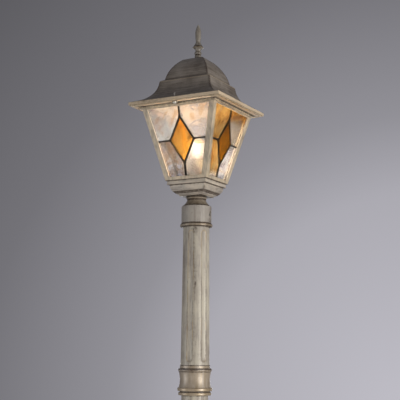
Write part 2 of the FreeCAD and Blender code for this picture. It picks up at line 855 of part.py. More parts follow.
def make_came(label, turn):
    """Lead strip of H section: two faces on a thin heart, with the panes let in between."""
    came = new_body(label)
    gap = dim.glass_gap
    outline = trapezium(dim.post_flange_width + gap, window_foot + gap, window_head - gap)
    extruded(came, "Pad", outline_sketch(came, "XY_Plane", [outline]), dim.came_thickness)
    low = window_foot - dim.post_flange_width
    high = window_head + dim.post_flange_width
    for inset, thickness in ((dim.came_face / 2, dim.came_thickness * 2), (dim.came_heart / 2, pane_slot)):
        openings = [diamond_outline(inset)]
        for across, up in CORNER_PANES.values():
            openings.append(corner_pane_outline(inset, across, up, ZERO, low, high))
        extruded(came, "Pocket", outline_sketch(came, "XY_Plane", openings), thickness)
    came.Placement = pane_place(turn)
    return came


def make_glass(label, outline, turn):
    glass = new_body(label)
    extruded(glass, "Pad", outline_sketch(glass, "XY_Plane", [outline]), dim.glass_thickness)
    glass.Placement = pane_place(turn)
    return glass


def make_window(side, turn):
    inset = dim.came_heart / 2 + dim.glass_gap
    pieces = [make_came(side + "_came", turn),
              make_glass(side + "_amber_diamond", diamond_outline(inset), turn)]
    for corner, (across, up) in CORNER_PANES.items():
        outline = corner_pane_outline(inset, across, up, pane_margin, slot_foot, pane_head)
        pieces.append(make_glass("%s_pane_%s" % (side, corner), outline, turn))
    return pieces


# Roof, finial and their fasteners

roof_ceiling = roof_seat + dim.crown_height - dim.roof_wall


def roof_side(ledge, sweep, radius, eave_corner, below, dome):
    """The roof's side from its eave to its top: a straight eave, a concave sweep, the ledge and the dome."""
    touch = tangent_from(eave_corner, ledge, sweep, radius)
    return below + [
        eave_corner,
        Corner(touch.x, touch.y, bow=-radius, smooth=True, free=True),
        Corner(sweep.x, sweep.y, smooth=True),
        ledge,
    ] + dome


def make_roof():
    """The bell roof, one hollow casting that drops over the cornice and is tapped for two screws."""
    wall = dim.roof_wall
    rebate = cornice_half + dim.roof_seat_gap
    eave = rebate + dim.eave_lip_thickness
    span = eave * 4
    ledge = Corner(dim.ledge_width / 2, roof_seat + dim.ledge_height)
    sweep = Corner(dim.skirt_sweep_width / 2, roof_seat + dim.skirt_sweep_height)
    eave_foot = roof_seat - dim.eave_overlap
    dome = Corner(dim.dome_foot_width / 2, roof_seat + dim.dome_foot_height, bow=dim.dome_radius)
    crown = Corner(dim.crown_width / 2, roof_seat + dim.crown_height)
    outside = square_block("roof_outside", roof_side(
        ledge, sweep, dim.skirt_radius, Corner(eave, eave_foot + dim.eave_lip_height),
        [Corner(eave, eave_foot)], [dome, crown, Corner(dim.cap_width / 2, roof_top)]), span)
    inner_ledge = Corner(ledge.x - wall, ledge.y - wall)
    inner_sweep = Corner(sweep.x - wall, sweep.y - wall / 2)
    inner_dome = Corner(dome.x - wall, dome.y - wall, bow=dim.dome_radius - wall)
    inner_seat = Corner(cornice_half - dim.roof_seat_width, roof_seat)
    hollow = square_block("roof_hollow", roof_side(
        inner_ledge, inner_sweep, dim.skirt_radius + wall, inner_seat,
        [Corner(rebate, eave_foot - dim.eave_overlap), Corner(rebate, roof_seat)],
        [inner_dome, Corner(crown.x - wall, roof_ceiling)]), span)
    screw_holes = roof_screw_bars("roof_screw_holes", eave_foot, dim.roof_screw_diameter + dim.fit_gap,
                                  dim.ledge_height)
    stud_hole = upright("roof_stud_hole", 0, 0, roof_seat + dim.ledge_height,
                        dim.finial_stud_diameter + dim.fit_gap, dim.roof_height)
    holes = fused("roof_holes", [screw_holes, stud_hole])
    return combined("Part::Cut", "roof", combined("Part::Cut", "roof_shell", outside, hollow), holes)


def make_roof_screws():
    """Two screws from under the cornice; their ends stand proud of the roof."""
    seat = roof_seat - dim.roof_screw_boss_drop
    skirt = dim.eave_lip_height - dim.eave_overlap + dim.roof_screw_inset / 2
    length = dim.roof_screw_boss_drop + skirt + dim.roof_screw_tip
    shanks = roof_screw_bars("roof_screw_shanks", seat, dim.roof_screw_diameter, length)
    heads = roof_screw_bars("roof_screw_heads", seat - dim.roof_screw_head_height,
                            dim.roof_screw_head_diameter, dim.roof_screw_head_height)
    return fused("roof_screws", [shanks, heads])


finial_stud_foot = roof_ceiling - dim.finial_nut_height - dim.finial_stud_tip


def make_finial():
    """A turned finial: foot, ring, flared bell and pointed bud, with a stud below."""
    def corner(diameter, height, bow=None):
        return Corner(diameter / 2, roof_top + height, bow)

    ring_bow = bulge(dim.finial_ring_top - dim.finial_ring_foot,
                     (dim.finial_ring_diameter - dim.finial_neck_diameter) / 2)
    return turned("finial", [
        Corner(ZERO, finial_stud_foot),
        Corner(dim.finial_stud_diameter / 2, finial_stud_foot),
        Corner(dim.finial_stud_diameter / 2, roof_top),
        Corner(dim.finial_foot_diameter / 2, roof_top),
        corner(dim.finial_foot_diameter, dim.finial_foot_height),
        corner(dim.finial_neck_diameter, dim.finial_ring_foot, bow=ring_bow),
        corner(dim.finial_neck_diameter, dim.finial_ring_top),
        corner(dim.finial_neck_diameter, dim.finial_neck_height, bow=-dim.finial_bell_under_radius),
        corner(dim.finial_bell_diameter, dim.finial_bell_height, bow=-dim.finial_bell_radius),
        corner(dim.finial_waist_diameter, dim.finial_waist_height, bow=dim.finial_bud_radius),
        corner(dim.finial_bud_diameter, dim.finial_bud_height, bow=dim.finial_point_radius),
        corner(dim.finial_tip_diameter, dim.finial_height),
        Corner(ZERO, roof_top + dim.finial_height),
    ])


# Lampholder, lamp and nipple

nipple_foot = tray_foot - dim.neck_web - dim.nipple_nut_height - dim.nipple_tail
holder_foot = tray_foot + dim.holder_stand
contact_seat = holder_foot + dim.holder_floor
lamp_seat = contact_seat + dim.contact_height


def make_nipple():
    outer = dim.nipple_diameter / 2
    bore = dim.nipple_bore / 2
    top = holder_foot + dim.nipple_grip
    return turned("nipple", [Corner(outer, nipple_foot), Corner(outer, top), Corner(bore, top),
                             Corner(bore, nipple_foot)])


def make_nipple_nuts():
    """One nut on the tray's floor and one under the neck of the head collar."""
    bore = dim.nipple_diameter + dim.fit_gap * 2
    sizes = (dim.nipple_nut_width, dim.nipple_nut_height, bore)
    nuts = [hex_nut("nipple_nut_upper", *sizes, tray_foot + dim.tray_floor),
            hex_nut("nipple_nut_lower", *sizes, tray_foot - dim.neck_web - dim.nipple_nut_height)]
    return fused("nipple_nuts", nuts)


def make_lampholder():
    """The pale sleeve of the lampholder with its floor, screwed onto the nipple."""
    outer = dim.holder_diameter / 2
    top = holder_foot + dim.holder_height
    mouth = dim.holder_mouth_diameter / 2
    well = dim.shell_outer_diameter / 2 + dim.fit_gap
    thread = dim.nipple_diameter / 2 + dim.fit_gap
    edge = dim.holder_edge_round
    wire_way = dim.nipple_bore / 2
    return turned("lampholder", [
        Corner(thread, holder_foot),
        Corner(outer - edge, holder_foot, bow=edge),
        Corner(outer, holder_foot + edge),
        Corner(outer, top),
        Corner(mouth, top),
        Corner(mouth, top - dim.holder_mouth_depth),
        Corner(well, top - dim.holder_mouth_depth),
        Corner(well, contact_seat),
        Corner(wire_way, contact_seat),
        Corner(wire_way, holder_foot + dim.nipple_grip),
        Corner(thread, holder_foot + dim.nipple_grip),
    ])


def make_screw_shell():
    """The thin metal sleeve that the lamp's cap screws into."""
    outer = dim.shell_outer_diameter / 2
    inner = outer - dim.shell_wall
    top = contact_seat + dim.shell_height
    return turned("screw_shell", [Corner(outer, contact_seat), Corner(outer, top), Corner(inner, top),
                                  Corner(inner, contact_seat)])


def make_centre_contact():
    """The button on the holder's floor that meets the lamp's tip."""
    radius = dim.contact_diameter / 2
    edge = dim.contact_height / 2
    return turned("centre_contact", [
        Corner(ZERO, contact_seat),
        Corner(radius, contact_seat),
        Corner(radius, lamp_seat - edge, bow=edge),
        Corner(radius - edge, lamp_seat),
        Corner(ZERO, lamp_seat),
    ])


def make_lamp():
    """A golf-ball lamp: screw cap and frosted globe."""
    cap = dim.lamp_cap_diameter / 2
    tip = dim.lamp_contact_diameter / 2
    globe = dim.lamp_globe_diameter / 2
    centre = lamp_seat + dim.lamp_globe_centre
    neck = lamp_seat + dim.lamp_contact_height + dim.lamp_cap_height
    drop = (globe * globe - cap * cap).root()
    return turned("lamp", [
        Corner(ZERO, lamp_seat),
        Corner(tip, lamp_seat),
        Corner(cap, lamp_seat + dim.lamp_contact_height),
        Corner(cap, neck),
        Corner(cap, centre - drop, bow=globe),
        Corner(globe, centre, bow=globe),
        Corner(ZERO, centre + globe),
    ])


def make_finial_nut():
    return hex_nut("finial_nut", dim.finial_nut_width, dim.finial_nut_height,
                   dim.finial_stud_diameter + dim.fit_gap, roof_ceiling - dim.finial_nut_height)


nodes = [
    make_foot(),
    make_post("lower_post", lower_post_foot),
    make_middle_collar(),
    make_post("upper_post", upper_post_foot),
    make_head_collar(),
    make_grub_screws(),
    make_tray(),
    make_cage(),
    make_cage_screws(),
]
for index, side in enumerate(SIDES):
    nodes += make_window(side, index * QUARTER_TURN)
nodes += [
    make_roof(),
    make_roof_screws(),
    make_finial(),
    make_finial_nut(),
    make_nipple(),
    make_nipple_nuts(),
    make_lampholder(),
    make_screw_shell(),
    make_centre_contact(),
    make_lamp(),
]

# Every feature has to stand, and every piece has to be whole, before anything is written

doc.recompute()
failed = [item.Name for item in doc.Objects if "Invalid" in item.State or "Error" in item.State]
failed += [node.Label for node in nodes if node.Shape.isNull() or not node.Shape.isValid()]
if failed:
    raise RuntimeError("these did not build: " + ", ".join(failed))

os.makedirs("parts", exist_ok=True)
for node in nodes:
    node.Shape.exportStep(os.path.join("parts", node.Label + ".step"))
    print("%-28s %d solids %9.1f mm3" % (node.Label, len(node.Shape.Solids), node.Shape.Volume))
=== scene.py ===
# %% [markdown]
# # A garden lantern with leaded glass
#
# The lantern is a tapered square cage with a bell roof on a fluted cast post. Its solids are already
# packed as a fixed frame, in metres, with the foot's underside on the floor and the post's axis on Z.
# This lesson dresses that frame: first the view, then the paint, the metals and the glass, then the
# pieces that follow a rule, and last the studio round them.

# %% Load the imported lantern
import math
from functools import partial
from types import SimpleNamespace

import bpy
from mathutils import Matrix, Vector


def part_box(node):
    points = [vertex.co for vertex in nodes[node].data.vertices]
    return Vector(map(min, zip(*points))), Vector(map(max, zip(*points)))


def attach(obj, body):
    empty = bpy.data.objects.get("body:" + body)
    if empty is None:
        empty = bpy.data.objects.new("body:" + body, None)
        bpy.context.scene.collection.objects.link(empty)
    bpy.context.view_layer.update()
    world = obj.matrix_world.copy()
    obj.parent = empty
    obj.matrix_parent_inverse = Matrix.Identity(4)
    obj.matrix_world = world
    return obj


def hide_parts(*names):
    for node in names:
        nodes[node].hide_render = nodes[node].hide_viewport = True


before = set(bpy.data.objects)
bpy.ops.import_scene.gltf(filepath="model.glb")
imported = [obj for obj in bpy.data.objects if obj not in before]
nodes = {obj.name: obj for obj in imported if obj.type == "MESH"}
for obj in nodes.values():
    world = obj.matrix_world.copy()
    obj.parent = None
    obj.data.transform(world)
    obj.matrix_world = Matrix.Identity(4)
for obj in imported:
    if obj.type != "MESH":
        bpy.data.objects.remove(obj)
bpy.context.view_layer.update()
scene = bpy.context.scene
scene.view_settings.view_transform = "Standard"
MM = 0.001

# %% [markdown]
# ## The view
#
# The lantern is seen from a low stand, a little to the right of its front, with the roof well above
# the lens. A camera could be aimed by a Track To constraint, but its heading, pitch and roll were
# measured one by one, so it is turned by each in the same order. The lens is given in pixels of a
# 400 pixel frame and changed to millimetres for the usual 36 mm sensor.

# %% Camera
FRAME_PIXELS = 400
FOCAL_PIXELS = 951
SENSOR_MM = 36
VIEW_HEADING = math.radians(28.87)
VIEW_YAW = math.radians(0.205)
VIEW_PITCH = math.radians(8.95)
VIEW_ROLL = math.radians(0.518)
VIEW_STAND = Vector((0.8976, -1.6279, 0.4313))

lens = bpy.data.cameras.new("view")
lens.sensor_width = SENSOR_MM
lens.lens = SENSOR_MM * FOCAL_PIXELS / FRAME_PIXELS
camera = bpy.data.objects.new("view", lens)
# An unturned camera looks straight down, so a quarter turn about X makes it level first.
heading = Matrix.Rotation(VIEW_HEADING - VIEW_YAW, 4, "Z")
tilt = Matrix.Rotation(math.pi / 2 + VIEW_PITCH, 4, "X")
roll = Matrix.Rotation(VIEW_ROLL, 4, "Z")
view_turn = heading @ tilt @ roll
camera.matrix_world = Matrix.Translation(VIEW_STAND) @ view_turn
scene.collection.objects.link(camera)
scene.camera = camera
print("lens: %.1f mm" % lens.lens)

# %% [markdown]
# ## A short way to write node trees
#
# Shader trees and Geometry Nodes trees are both lists of nodes with links between their sockets.
# Written out in full they hide the idea, so one helper adds a node, sets its options, and either
# links or fills each input. Smaller helpers stand for the sums and blends that come up all the time.

# %% Node helpers
def add(tree, kind, inputs=None, **options):
    """Adds a node; an input that is a socket is linked, any other value is set."""
    node = tree.nodes.new(kind)
    for option, value in options.items():
        setattr(node, option, value)
    for socket, value in (inputs or {}).items():
        if isinstance(value, bpy.types.NodeSocket):
            tree.links.new(value, node.inputs[socket])
        else:
            node.inputs[socket].default_value = value
    return node


def calc(tree, operation, *values):
    """One sum on numbers or sockets."""
    return add(tree, "ShaderNodeMath", dict(enumerate(values)), operation=operation).outputs[0]


def vector(tree, operation, *values):
    """One sum on vectors; a length or a dot product comes out as a number."""
    node = add(tree, "ShaderNodeVectorMath", dict(enumerate(values)), operation=operation)
    return node.outputs["Value" if operation in ("LENGTH", "DOT_PRODUCT") else "Vector"]


def spread(tree, value, low, high, start=0.0, end=1.0):
    """Moves the range low..high onto start..end, and stops at its ends."""
    inputs = {"Value": value, "From Min": low, "From Max": high, "To Min": start, "To Max": end}
    return add(tree, "ShaderNodeMapRange", inputs).outputs["Result"]


def tint(tree, share, under, over):
    """One colour laid over another; share is how much of the upper one shows."""
    # The Mix node has a socket for every kind of value: its two colours are numbers 6 and 7.
    return add(tree, "ShaderNodeMix", {0: share, 6: under, 7: over}, data_type="RGBA").outputs[2]


print("node helpers ready")

# %% Finish helpers
def colour(red, green, blue):
    """A solid colour, as a colour socket takes it."""
    return (red, green, blue, 1.0)


def new_finish(name):
    """An empty material, its tree and the object's own coordinates."""
    material = bpy.data.materials.new(name)
    material.use_nodes = True
    tree = material.node_tree
    tree.nodes.clear()
    return material, tree, add(tree, "ShaderNodeTexCoord").outputs["Object"]


def grain(tree, place, scale, detail=4.0, roughness=0.55, stretch=(1, 1, 1), offset=(0, 0, 0), twist=0.0):
    """Noise in the object's own space; stretch and offset place it on the piece."""
    spot = add(tree, "ShaderNodeMapping", {"Vector": place, "Location": offset, "Scale": stretch})
    inputs = {"Vector": spot.outputs[0], "Scale": scale, "Detail": detail, "Roughness": roughness,
              "Distortion": twist}
    return add(tree, "ShaderNodeTexNoise", inputs).outputs["Fac"]


def height_of(tree, place):
    """How high a point lies above the floor."""
    return add(tree, "ShaderNodeSeparateXYZ", {0: place}).outputs["Z"]


def shader(tree, kind, inputs):
    """A surface shader, such as Principled or Glossy."""
    return add(tree, "ShaderNodeBsdf" + kind, inputs).outputs[0]


def mixed(tree, share, under, over):
    """Two shaders in one; share is how much of the second one shows."""
    return add(tree, "ShaderNodeMixShader", {0: share, 1: under, 2: over}).outputs[0]


def show(tree, surface):
    """Ends a finish with its surface."""
    add(tree, "ShaderNodeOutputMaterial", {"Surface": surface})


print("finish helpers ready")

# %% [markdown]
# ## The patina paint
#
# The castings are painted cream, then brown and gold are brushed on and wiped off again. The wash
# stays in the corners between mouldings, and the gold catches on raised edges. The marks could be
# painted by hand on an unwrapped copy of each casting, but here they are worked out from the shape:
# the Ambient Occlusion node finds the corners and the Bevel node the edges, and noise breaks both up
# so that no two stretches look alike. The same finish then serves every casting: the roof has more
# brown left on it, and the middle collar has more gold. The roof and finial are darker copies of the
# cream, which is painted shade, and pale bands on the eaves and a ledge are painted light.

# %% Marks at a height
BAND_SOFTNESS = 0.5 * MM
RUN_HEART = 0.3


def up_from(node, millimetres):
    """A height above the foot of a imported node."""
    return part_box(node)[0].z + millimetres * MM


def bands_on(node, *bands):
    """Bands of paint between two heights above the node's foot, in mm, each with its share."""
    return [(up_from(node, low), up_from(node, high), share) for low, high, share in bands]


def runs_on(node, *runs):
    """Runs of wash, in mm: x, y and the height above the node's foot, width, height, and a share."""
    return [((x * MM, y * MM, up_from(node, up)), wide * MM, tall * MM, share)
            for x, y, up, wide, tall, share in runs]


def height_bands(tree, level, bands):
    """Each band's share between its two heights, 0 elsewhere, with a soft end at both."""
    total = 0.0
    for low, high, share in bands:
        start = spread(tree, level, low - BAND_SOFTNESS, low)
        stop = spread(tree, level, high + BAND_SOFTNESS, high, 0.0, share)
        total = calc(tree, "ADD", total, calc(tree, "MULTIPLY", start, stop))
    return total


def paint_runs(tree, place, runs):
    """Soft spots where the wash has run, each full in its heart and gone at its rim."""
    total = 0.0
    for centre, wide, tall, share in runs:
        stretch = (1 / wide, 1 / wide, 1 / tall)
        start = tuple(-spot * scale for spot, scale in zip(centre, stretch))
        near = add(tree, "ShaderNodeMapping", {"Vector": place, "Location": start, "Scale": stretch})
        away = vector(tree, "LENGTH", near.outputs[0])
        total = calc(tree, "MAXIMUM", total, spread(tree, away, 1.0, RUN_HEART, 0.0, share))
    return total


print("paint bands end over", BAND_SOFTNESS, "m")

# %% What the brush meets
CLOUD_SCALE = 26
STROKE_SCALE = 60
MOTTLE_SCALE = 240
BAND_WAVER = 0.7 * MM
EDGE_REACH = 1.8 * MM
CORNER_REACH = 12 * MM
TURNED_EDGE = (0.992, 0.90)
SHUT_CORNER = (0.74, 0.42)
OPEN_EDGE = (0.66, 0.88)
TURNED_INWARD = (-0.02, -0.12)


def read_casting(tree, place, stroke, edge_reach):
    """Clouds, strokes and mottle of the paint, and the corners, edges and flutes of the casting."""
    marks = SimpleNamespace()
    marks.cloud = grain(tree, place, CLOUD_SCALE, detail=5)
    marks.strokes = grain(tree, place, STROKE_SCALE, detail=6, roughness=0.65, stretch=stroke)
    marks.mottle = grain(tree, place, MOTTLE_SCALE, detail=6, roughness=0.75)
    marks.smear = calc(tree, "MULTIPLY_ADD", marks.strokes, 0.6, calc(tree, "MULTIPLY", marks.cloud, 0.4))
    marks.height = height_of(tree, place)
    waver = spread(tree, marks.mottle, 0.2, 0.8, -BAND_WAVER, BAND_WAVER)
    marks.level = calc(tree, "ADD", marks.height, waver)
    marks.normal = add(tree, "ShaderNodeNewGeometry").outputs["True Normal"]
    rounded = add(tree, "ShaderNodeBevel", {"Radius": edge_reach}, samples=8).outputs["Normal"]
    edge = spread(tree, vector(tree, "DOT_PRODUCT", rounded, marks.normal), *TURNED_EDGE)
    open_sky = add(tree, "ShaderNodeAmbientOcclusion", {"Distance": CORNER_REACH}, samples=8).outputs["AO"]
    marks.corner = spread(tree, open_sky, *SHUT_CORNER)
    marks.raised = calc(tree, "MULTIPLY", edge, spread(tree, open_sky, *OPEN_EDGE))
    marks.flute = add(tree, "ShaderNodeAttribute", attribute_name="wash").outputs["Fac"]
    marks.gilt_flute = calc(tree, "MULTIPLY", marks.flute, spread(tree, marks.cloud, 0.44, 0.56))
    return marks


def inward_faces(tree, place, normal):
    """1 on faces that look towards the post's axis, 0 on the others."""
    outward = vector(tree, "NORMALIZE", vector(tree, "MULTIPLY", place, (1, 1, 0)))
    return spread(tree, vector(tree, "DOT_PRODUCT", outward, normal), *TURNED_INWARD)


print("corners are felt over", CORNER_REACH, "m and edges over", EDGE_REACH, "m")

# %% Brown and gold coats
BROWN = colour(0.050, 0.030, 0.018)
GOLD = colour(0.43, 0.31, 0.15)
# Noise keeps mostly between 0.3 and 0.7. Each pair is the slice of it over which a mark comes in.
RUN_BREAKS = (0.40, 0.56)
WASH_BREAKS = (0.36, 0.58)
SMUDGES = (0.49, 0.68)
SPECKS = (0.59, 0.70)
VEILS = (0.42, 0.66)
LAID_STROKES = (0.35, 0.60)
RUBBED_STRETCHES = (0.40, 0.60)


def brown_coat(tree, place, marks, wash, bands, runs, dark_hips):
    """The share of brown: in corners, flutes, bands and runs, in smudges and specks, and on dark hips."""
    held = calc(tree, "MAXIMUM", marks.corner, calc(tree, "SUBTRACT", marks.flute, marks.gilt_flute))
    held = calc(tree, "MAXIMUM", held, height_bands(tree, marks.level, bands))
    run_break = spread(tree, marks.mottle, *RUN_BREAKS, 0.4, 1.0)
    held = calc(tree, "MAXIMUM", held, calc(tree, "MULTIPLY", paint_runs(tree, place, runs), run_break))
    smudged = calc(tree, "ADD", held, spread(tree, marks.smear, *SMUDGES, 0.0, wash))
    share = calc(tree, "MULTIPLY", smudged, spread(tree, marks.mottle, *WASH_BREAKS, 0.5, 1.0))
    share = calc(tree, "MAXIMUM", share, spread(tree, marks.mottle, *SPECKS, 0.0, 0.6))
    return calc(tree, "MAXIMUM", share, dark_hips)


def gold_coat(tree, marks, gild, bands, dark_edges):
    """The share of gold: a thin veil, bands laid on with a brush, rubbed edges and lines along flutes."""
    veil = spread(tree, marks.strokes, *VEILS, gild * 0.4, gild)
    brushed = spread(tree, marks.smear, *LAID_STROKES, 0.35, 0.75)
    laid = calc(tree, "MULTIPLY", height_bands(tree, marks.level, bands), brushed)
    rubbed = calc(tree, "MULTIPLY", marks.raised, spread(tree, marks.cloud, *RUBBED_STRETCHES, 0.15, 0.7))
    rubbed = calc(tree, "MULTIPLY", rubbed, 1.0 - dark_edges)
    share = calc(tree, "MAXIMUM", calc(tree, "MAXIMUM", veil, laid), rubbed)
    return calc(tree, "MAXIMUM", share, marks.gilt_flute)


print("coats: brown over gold over cream")

# %% Patina finish
# A lit cream for the pale bands: painted light, for lamp light on the eaves and a highlight on a ledge.
PAINTED_LIGHT_CREAM = colour(0.70, 0.56, 0.40)
CLOUDED = (0.78, 1.22)
MOST_BROWN = 0.94
CAST_GRAIN_SCALE = 900
CAST_ROUND = 0.5 * MM
CAST_RELIEF = 0.5 * MM


def cast_skin(tree, place, marks, body, brown_share, metallic, coat):
    """Paint on a casting: rough where it is brown, with the casting's grain and soft edges under it."""
    sheen = spread(tree, marks.mottle, 0.3, 0.7, 0.34, 0.54)
    fine = calc(tree, "MULTIPLY", grain(tree, place, CAST_GRAIN_SCALE, detail=3), 0.5)
    soft_edge = add(tree, "ShaderNodeBevel", {"Radius": CAST_ROUND}, samples=6).outputs["Normal"]
    relief = add(tree, "ShaderNodeBump", {
        "Strength": 0.22, "Distance": CAST_RELIEF, "Normal": soft_edge,
        "Height": calc(tree, "MULTIPLY_ADD", marks.strokes, 0.8, fine)})
    return shader(tree, "Principled", {
        "Base Color": body, "Roughness": calc(tree, "MULTIPLY_ADD", brown_share, 0.14, sheen),
        "Metallic": metallic, "Normal": relief.outputs[0], "Coat Weight": coat, "Coat Roughness": 0.4})


def patina(name, paint, shade, gild, wash, stroke, gold=(), brown=(), pale=(), runs=(),
           edge_reach=EDGE_REACH, dark_edges=0.0, lining=None, gilding=GOLD, metal=0.4, coat=0.0):
    """Brushed paint: gild is how much gold stays on, wash how much brown, stroke the brush's stretch.
    Gold and brown list bands of heights, pale lists bands of painted light in a lit cream, runs are
    spots of brown, and lining is the paint inside."""
    material, tree, place = new_finish(name)
    marks = read_casting(tree, place, stroke, edge_reach)
    # Pale bands take the lit cream as painted light, and the dark hips stop at them.
    painted_light_share = height_bands(tree, marks.height, pale)
    dark_hips = calc(tree, "MULTIPLY", marks.raised, spread(tree, painted_light_share, 0.0, 1.0, dark_edges, 0.0))
    brown_share = brown_coat(tree, place, marks, wash, brown, runs, dark_hips)
    gold_share = gold_coat(tree, marks, gild, gold, dark_edges)
    body = tint(tree, spread(tree, calc(tree, "ADD", marks.strokes, marks.cloud), *CLOUDED), paint, shade)
    body = tint(tree, painted_light_share, body, PAINTED_LIGHT_CREAM)
    if lining:
        inner = inward_faces(tree, place, marks.normal)
        body = tint(tree, inner, body, lining)
        worked = calc(tree, "SUBTRACT", 1.0, inner)
        brown_share = calc(tree, "MULTIPLY", brown_share, worked)
        gold_share = calc(tree, "MULTIPLY", gold_share, worked)
    brown_share = calc(tree, "MINIMUM", brown_share, MOST_BROWN)
    body = tint(tree, brown_share, tint(tree, gold_share, body, gilding), BROWN)
    metallic = calc(tree, "MULTIPLY", gold_share, metal)
    show(tree, cast_skin(tree, place, marks, body, brown_share, metallic, coat))
    return material


print("the brown wash covers at most", MOST_BROWN)

# %% Paints of the post
UPRIGHT_STROKE = (2.6, 2.6, 0.22)
LEVEL_STROKE = (0.3, 0.3, 3.2)
CREAM = colour(0.59, 0.55, 0.46)
MAUVE = colour(0.38, 0.345, 0.32)
COLLAR_CREAM = colour(0.47, 0.41, 0.35)
COLLAR_SHADE = colour(0.20, 0.17, 0.165)
HEAD_CREAM = colour(0.42, 0.385, 0.34)
HEAD_SHADE = colour(0.35, 0.315, 0.29)
BRONZE = colour(0.27, 0.20, 0.115)

foot_paint = patina("foot_patina", CREAM, MAUVE, gild=0.10, wash=0.35, stroke=LEVEL_STROKE,
                    gold=bands_on("foot", (54, 64, 1.0)))
post_paint = patina(
    "post_patina", CREAM, MAUVE, gild=0.16, wash=0.45, stroke=UPRIGHT_STROKE,
    runs=runs_on("upper_post", (9.6, -24.4, 260, 8.5, 10, 0.90), (9.0, -25.0, 223, 4.4, 50, 0.50),
                 (11.4, -23.9, 156, 5.2, 14, 0.75), (10.5, -24.2, 168, 5.0, 60, 0.50),
                 (10.5, -25.0, 68, 4.2, 60, 0.30)))
gilded_paint = patina(
    "gilded_patina", COLLAR_CREAM, COLLAR_SHADE, gild=0.60, wash=0.45, stroke=UPRIGHT_STROKE,
    metal=0.55, coat=0.7, gold=bands_on("middle_collar", (1.0, 5.8, 1.0), (9.0, 14.2, 1.0)),
    brown=bands_on("middle_collar", (6.2, 8.2, 1.0), (44.0, 45.2, 1.0), (47.6, 51.2, 1.0), (56, 57, 1.0)))
head_paint = patina(
    "head_patina", HEAD_CREAM, HEAD_SHADE, gild=0.08, wash=0.40, stroke=UPRIGHT_STROKE,
    gilding=BRONZE, gold=bands_on("head_collar", (0, 7.6, 1.0), (42, 61, 1.0)),
    brown=bands_on("head_collar", (0, 1.2, 1.0), (5.4, 8.2, 1.0), (41.8, 43.6, 1.0), (53.2, 56.2, 1.0)),
    runs=runs_on("head_collar", (28.5, 4.5, 29, 7.5, 18, 0.80), (28.5, 4.0, 13, 10, 8, 0.80)))
post_paints = (foot_paint, post_paint, gilded_paint, head_paint)
print("paints of the post:", ", ".join(paint.name for paint in post_paints))

# %% Paints of the lantern
FINE_STROKE = (0.3, 0.3, 6.5)
ROOF_EDGE_REACH = 7 * MM
TRAY_CREAM = colour(0.70, 0.61, 0.50)
WARM_CREAM = colour(0.74, 0.615, 0.445)
WARM_SHADE = colour(0.40, 0.34, 0.275)
INSIDE_CREAM = colour(0.66, 0.58, 0.47)
# The roof and finial tones are darker copies of the cream paint: painted shade on their upward faces.
SHADED_ROOF_CREAM = colour(0.31, 0.272, 0.238)
SHADED_ROOF_CLOUD = colour(0.15, 0.126, 0.107)
SHADED_FINIAL_CREAM = colour(0.33, 0.305, 0.272)
SHADED_FINIAL_CLOUD = colour(0.15, 0.132, 0.115)

tray_paint = patina(
    "tray_patina", TRAY_CREAM, MAUVE, gild=0.12, wash=0.40, stroke=LEVEL_STROKE,
    brown=bands_on("tray", (0, 0.6, 1.0), (4.5, 8.8, 1.0), (19.8, 21.0, 1.0), (28.0, 28.5, 1.0)),
    runs=runs_on("tray", (41, -36, 12, 11, 6, 0.80), (46, -20, 18, 8, 5, 0.80), (45, 12, 14, 10, 6, 0.80)))
cage_paint = patina(
    "cage_patina", WARM_CREAM, WARM_SHADE, gild=0.12, wash=0.35, stroke=UPRIGHT_STROKE,
    lining=INSIDE_CREAM, brown=bands_on("cage", (0, 0.7, 1.0), (144.0, 144.7, 1.0)),
    # The pale band on the cornice is painted lamp light on its underside.
    pale=bands_on("cage", (144.7, 149.6, 1.0)))
# The roof's dark body is painted shade over the cream; its brown wash, dark hips and runs are paint.
shaded_roof_paint = patina(
    "shaded_roof_patina", SHADED_ROOF_CREAM, SHADED_ROOF_CLOUD, gild=0.06, wash=0.55, stroke=FINE_STROKE,
    edge_reach=ROOF_EDGE_REACH, dark_edges=0.92, lining=INSIDE_CREAM,
    # The eave-lip band is the cream without the painted shade, warmed as painted lamp light; the ledge band
    # is a painted highlight. The run darkens the left end of the front eave lip.
    pale=bands_on("roof", (-0.5, 5.8, 1.0), (52.6, 55.4, 0.38)),
    brown=bands_on("roof", (6.0, 7.8, 1.0), (58.0, 58.6, 0.5)),
    runs=runs_on("roof", (-55, -100, 3, 60, 8, 0.45)))
# The finial is a darker copy of the cream as well: painted shade.
shaded_finial_paint = patina(
    "shaded_finial_patina", SHADED_FINIAL_CREAM, SHADED_FINIAL_CLOUD, gild=0.10, wash=0.70, stroke=UPRIGHT_STROKE,
    brown=bands_on("finial", (21.8, 23.8, 1.0), (39.3, 42.3, 1.0)))
lantern_paints = (tray_paint, cage_paint, shaded_roof_paint, shaded_finial_paint)
print("paints of the lantern:", ", ".join(paint.name for paint in lantern_paints))

# %% [markdown]
# ## Bare metals and the holder
#
# Screws and nuts are zinc plated, the came is dull lead that has gone nearly black, the live parts
# are brass, and the lampholder is pale unglazed ceramic. One flat colour each would do from far off,
# but handled metal is never evenly bright. So each is one Principled shader that wavers between two
# colours and two roughnesses, and fine pits catch the light.

# %% Metals and ceramic
PITS_PER_BLOTCH = 7


def plain_finish(name, light, dark, metallic, smooth, rough, scale, depth):
    """A solid finish that wavers between two colours and two roughnesses."""
    material, tree, place = new_finish(name)
    blotch = grain(tree, place, scale, detail=5)
    pits = grain(tree, place, scale * PITS_PER_BLOTCH, detail=3)
    relief = add(tree, "ShaderNodeBump", {"Strength": 0.3, "Distance": depth, "Height": pits})
    show(tree, shader(tree, "Principled", {
        "Base Color": tint(tree, spread(tree, blotch, 0.35, 0.65), light, dark),
        "Roughness": spread(tree, pits, 0.35, 0.65, smooth, rough),
        "Metallic": metallic, "Normal": relief.outputs[0]}))
    return material


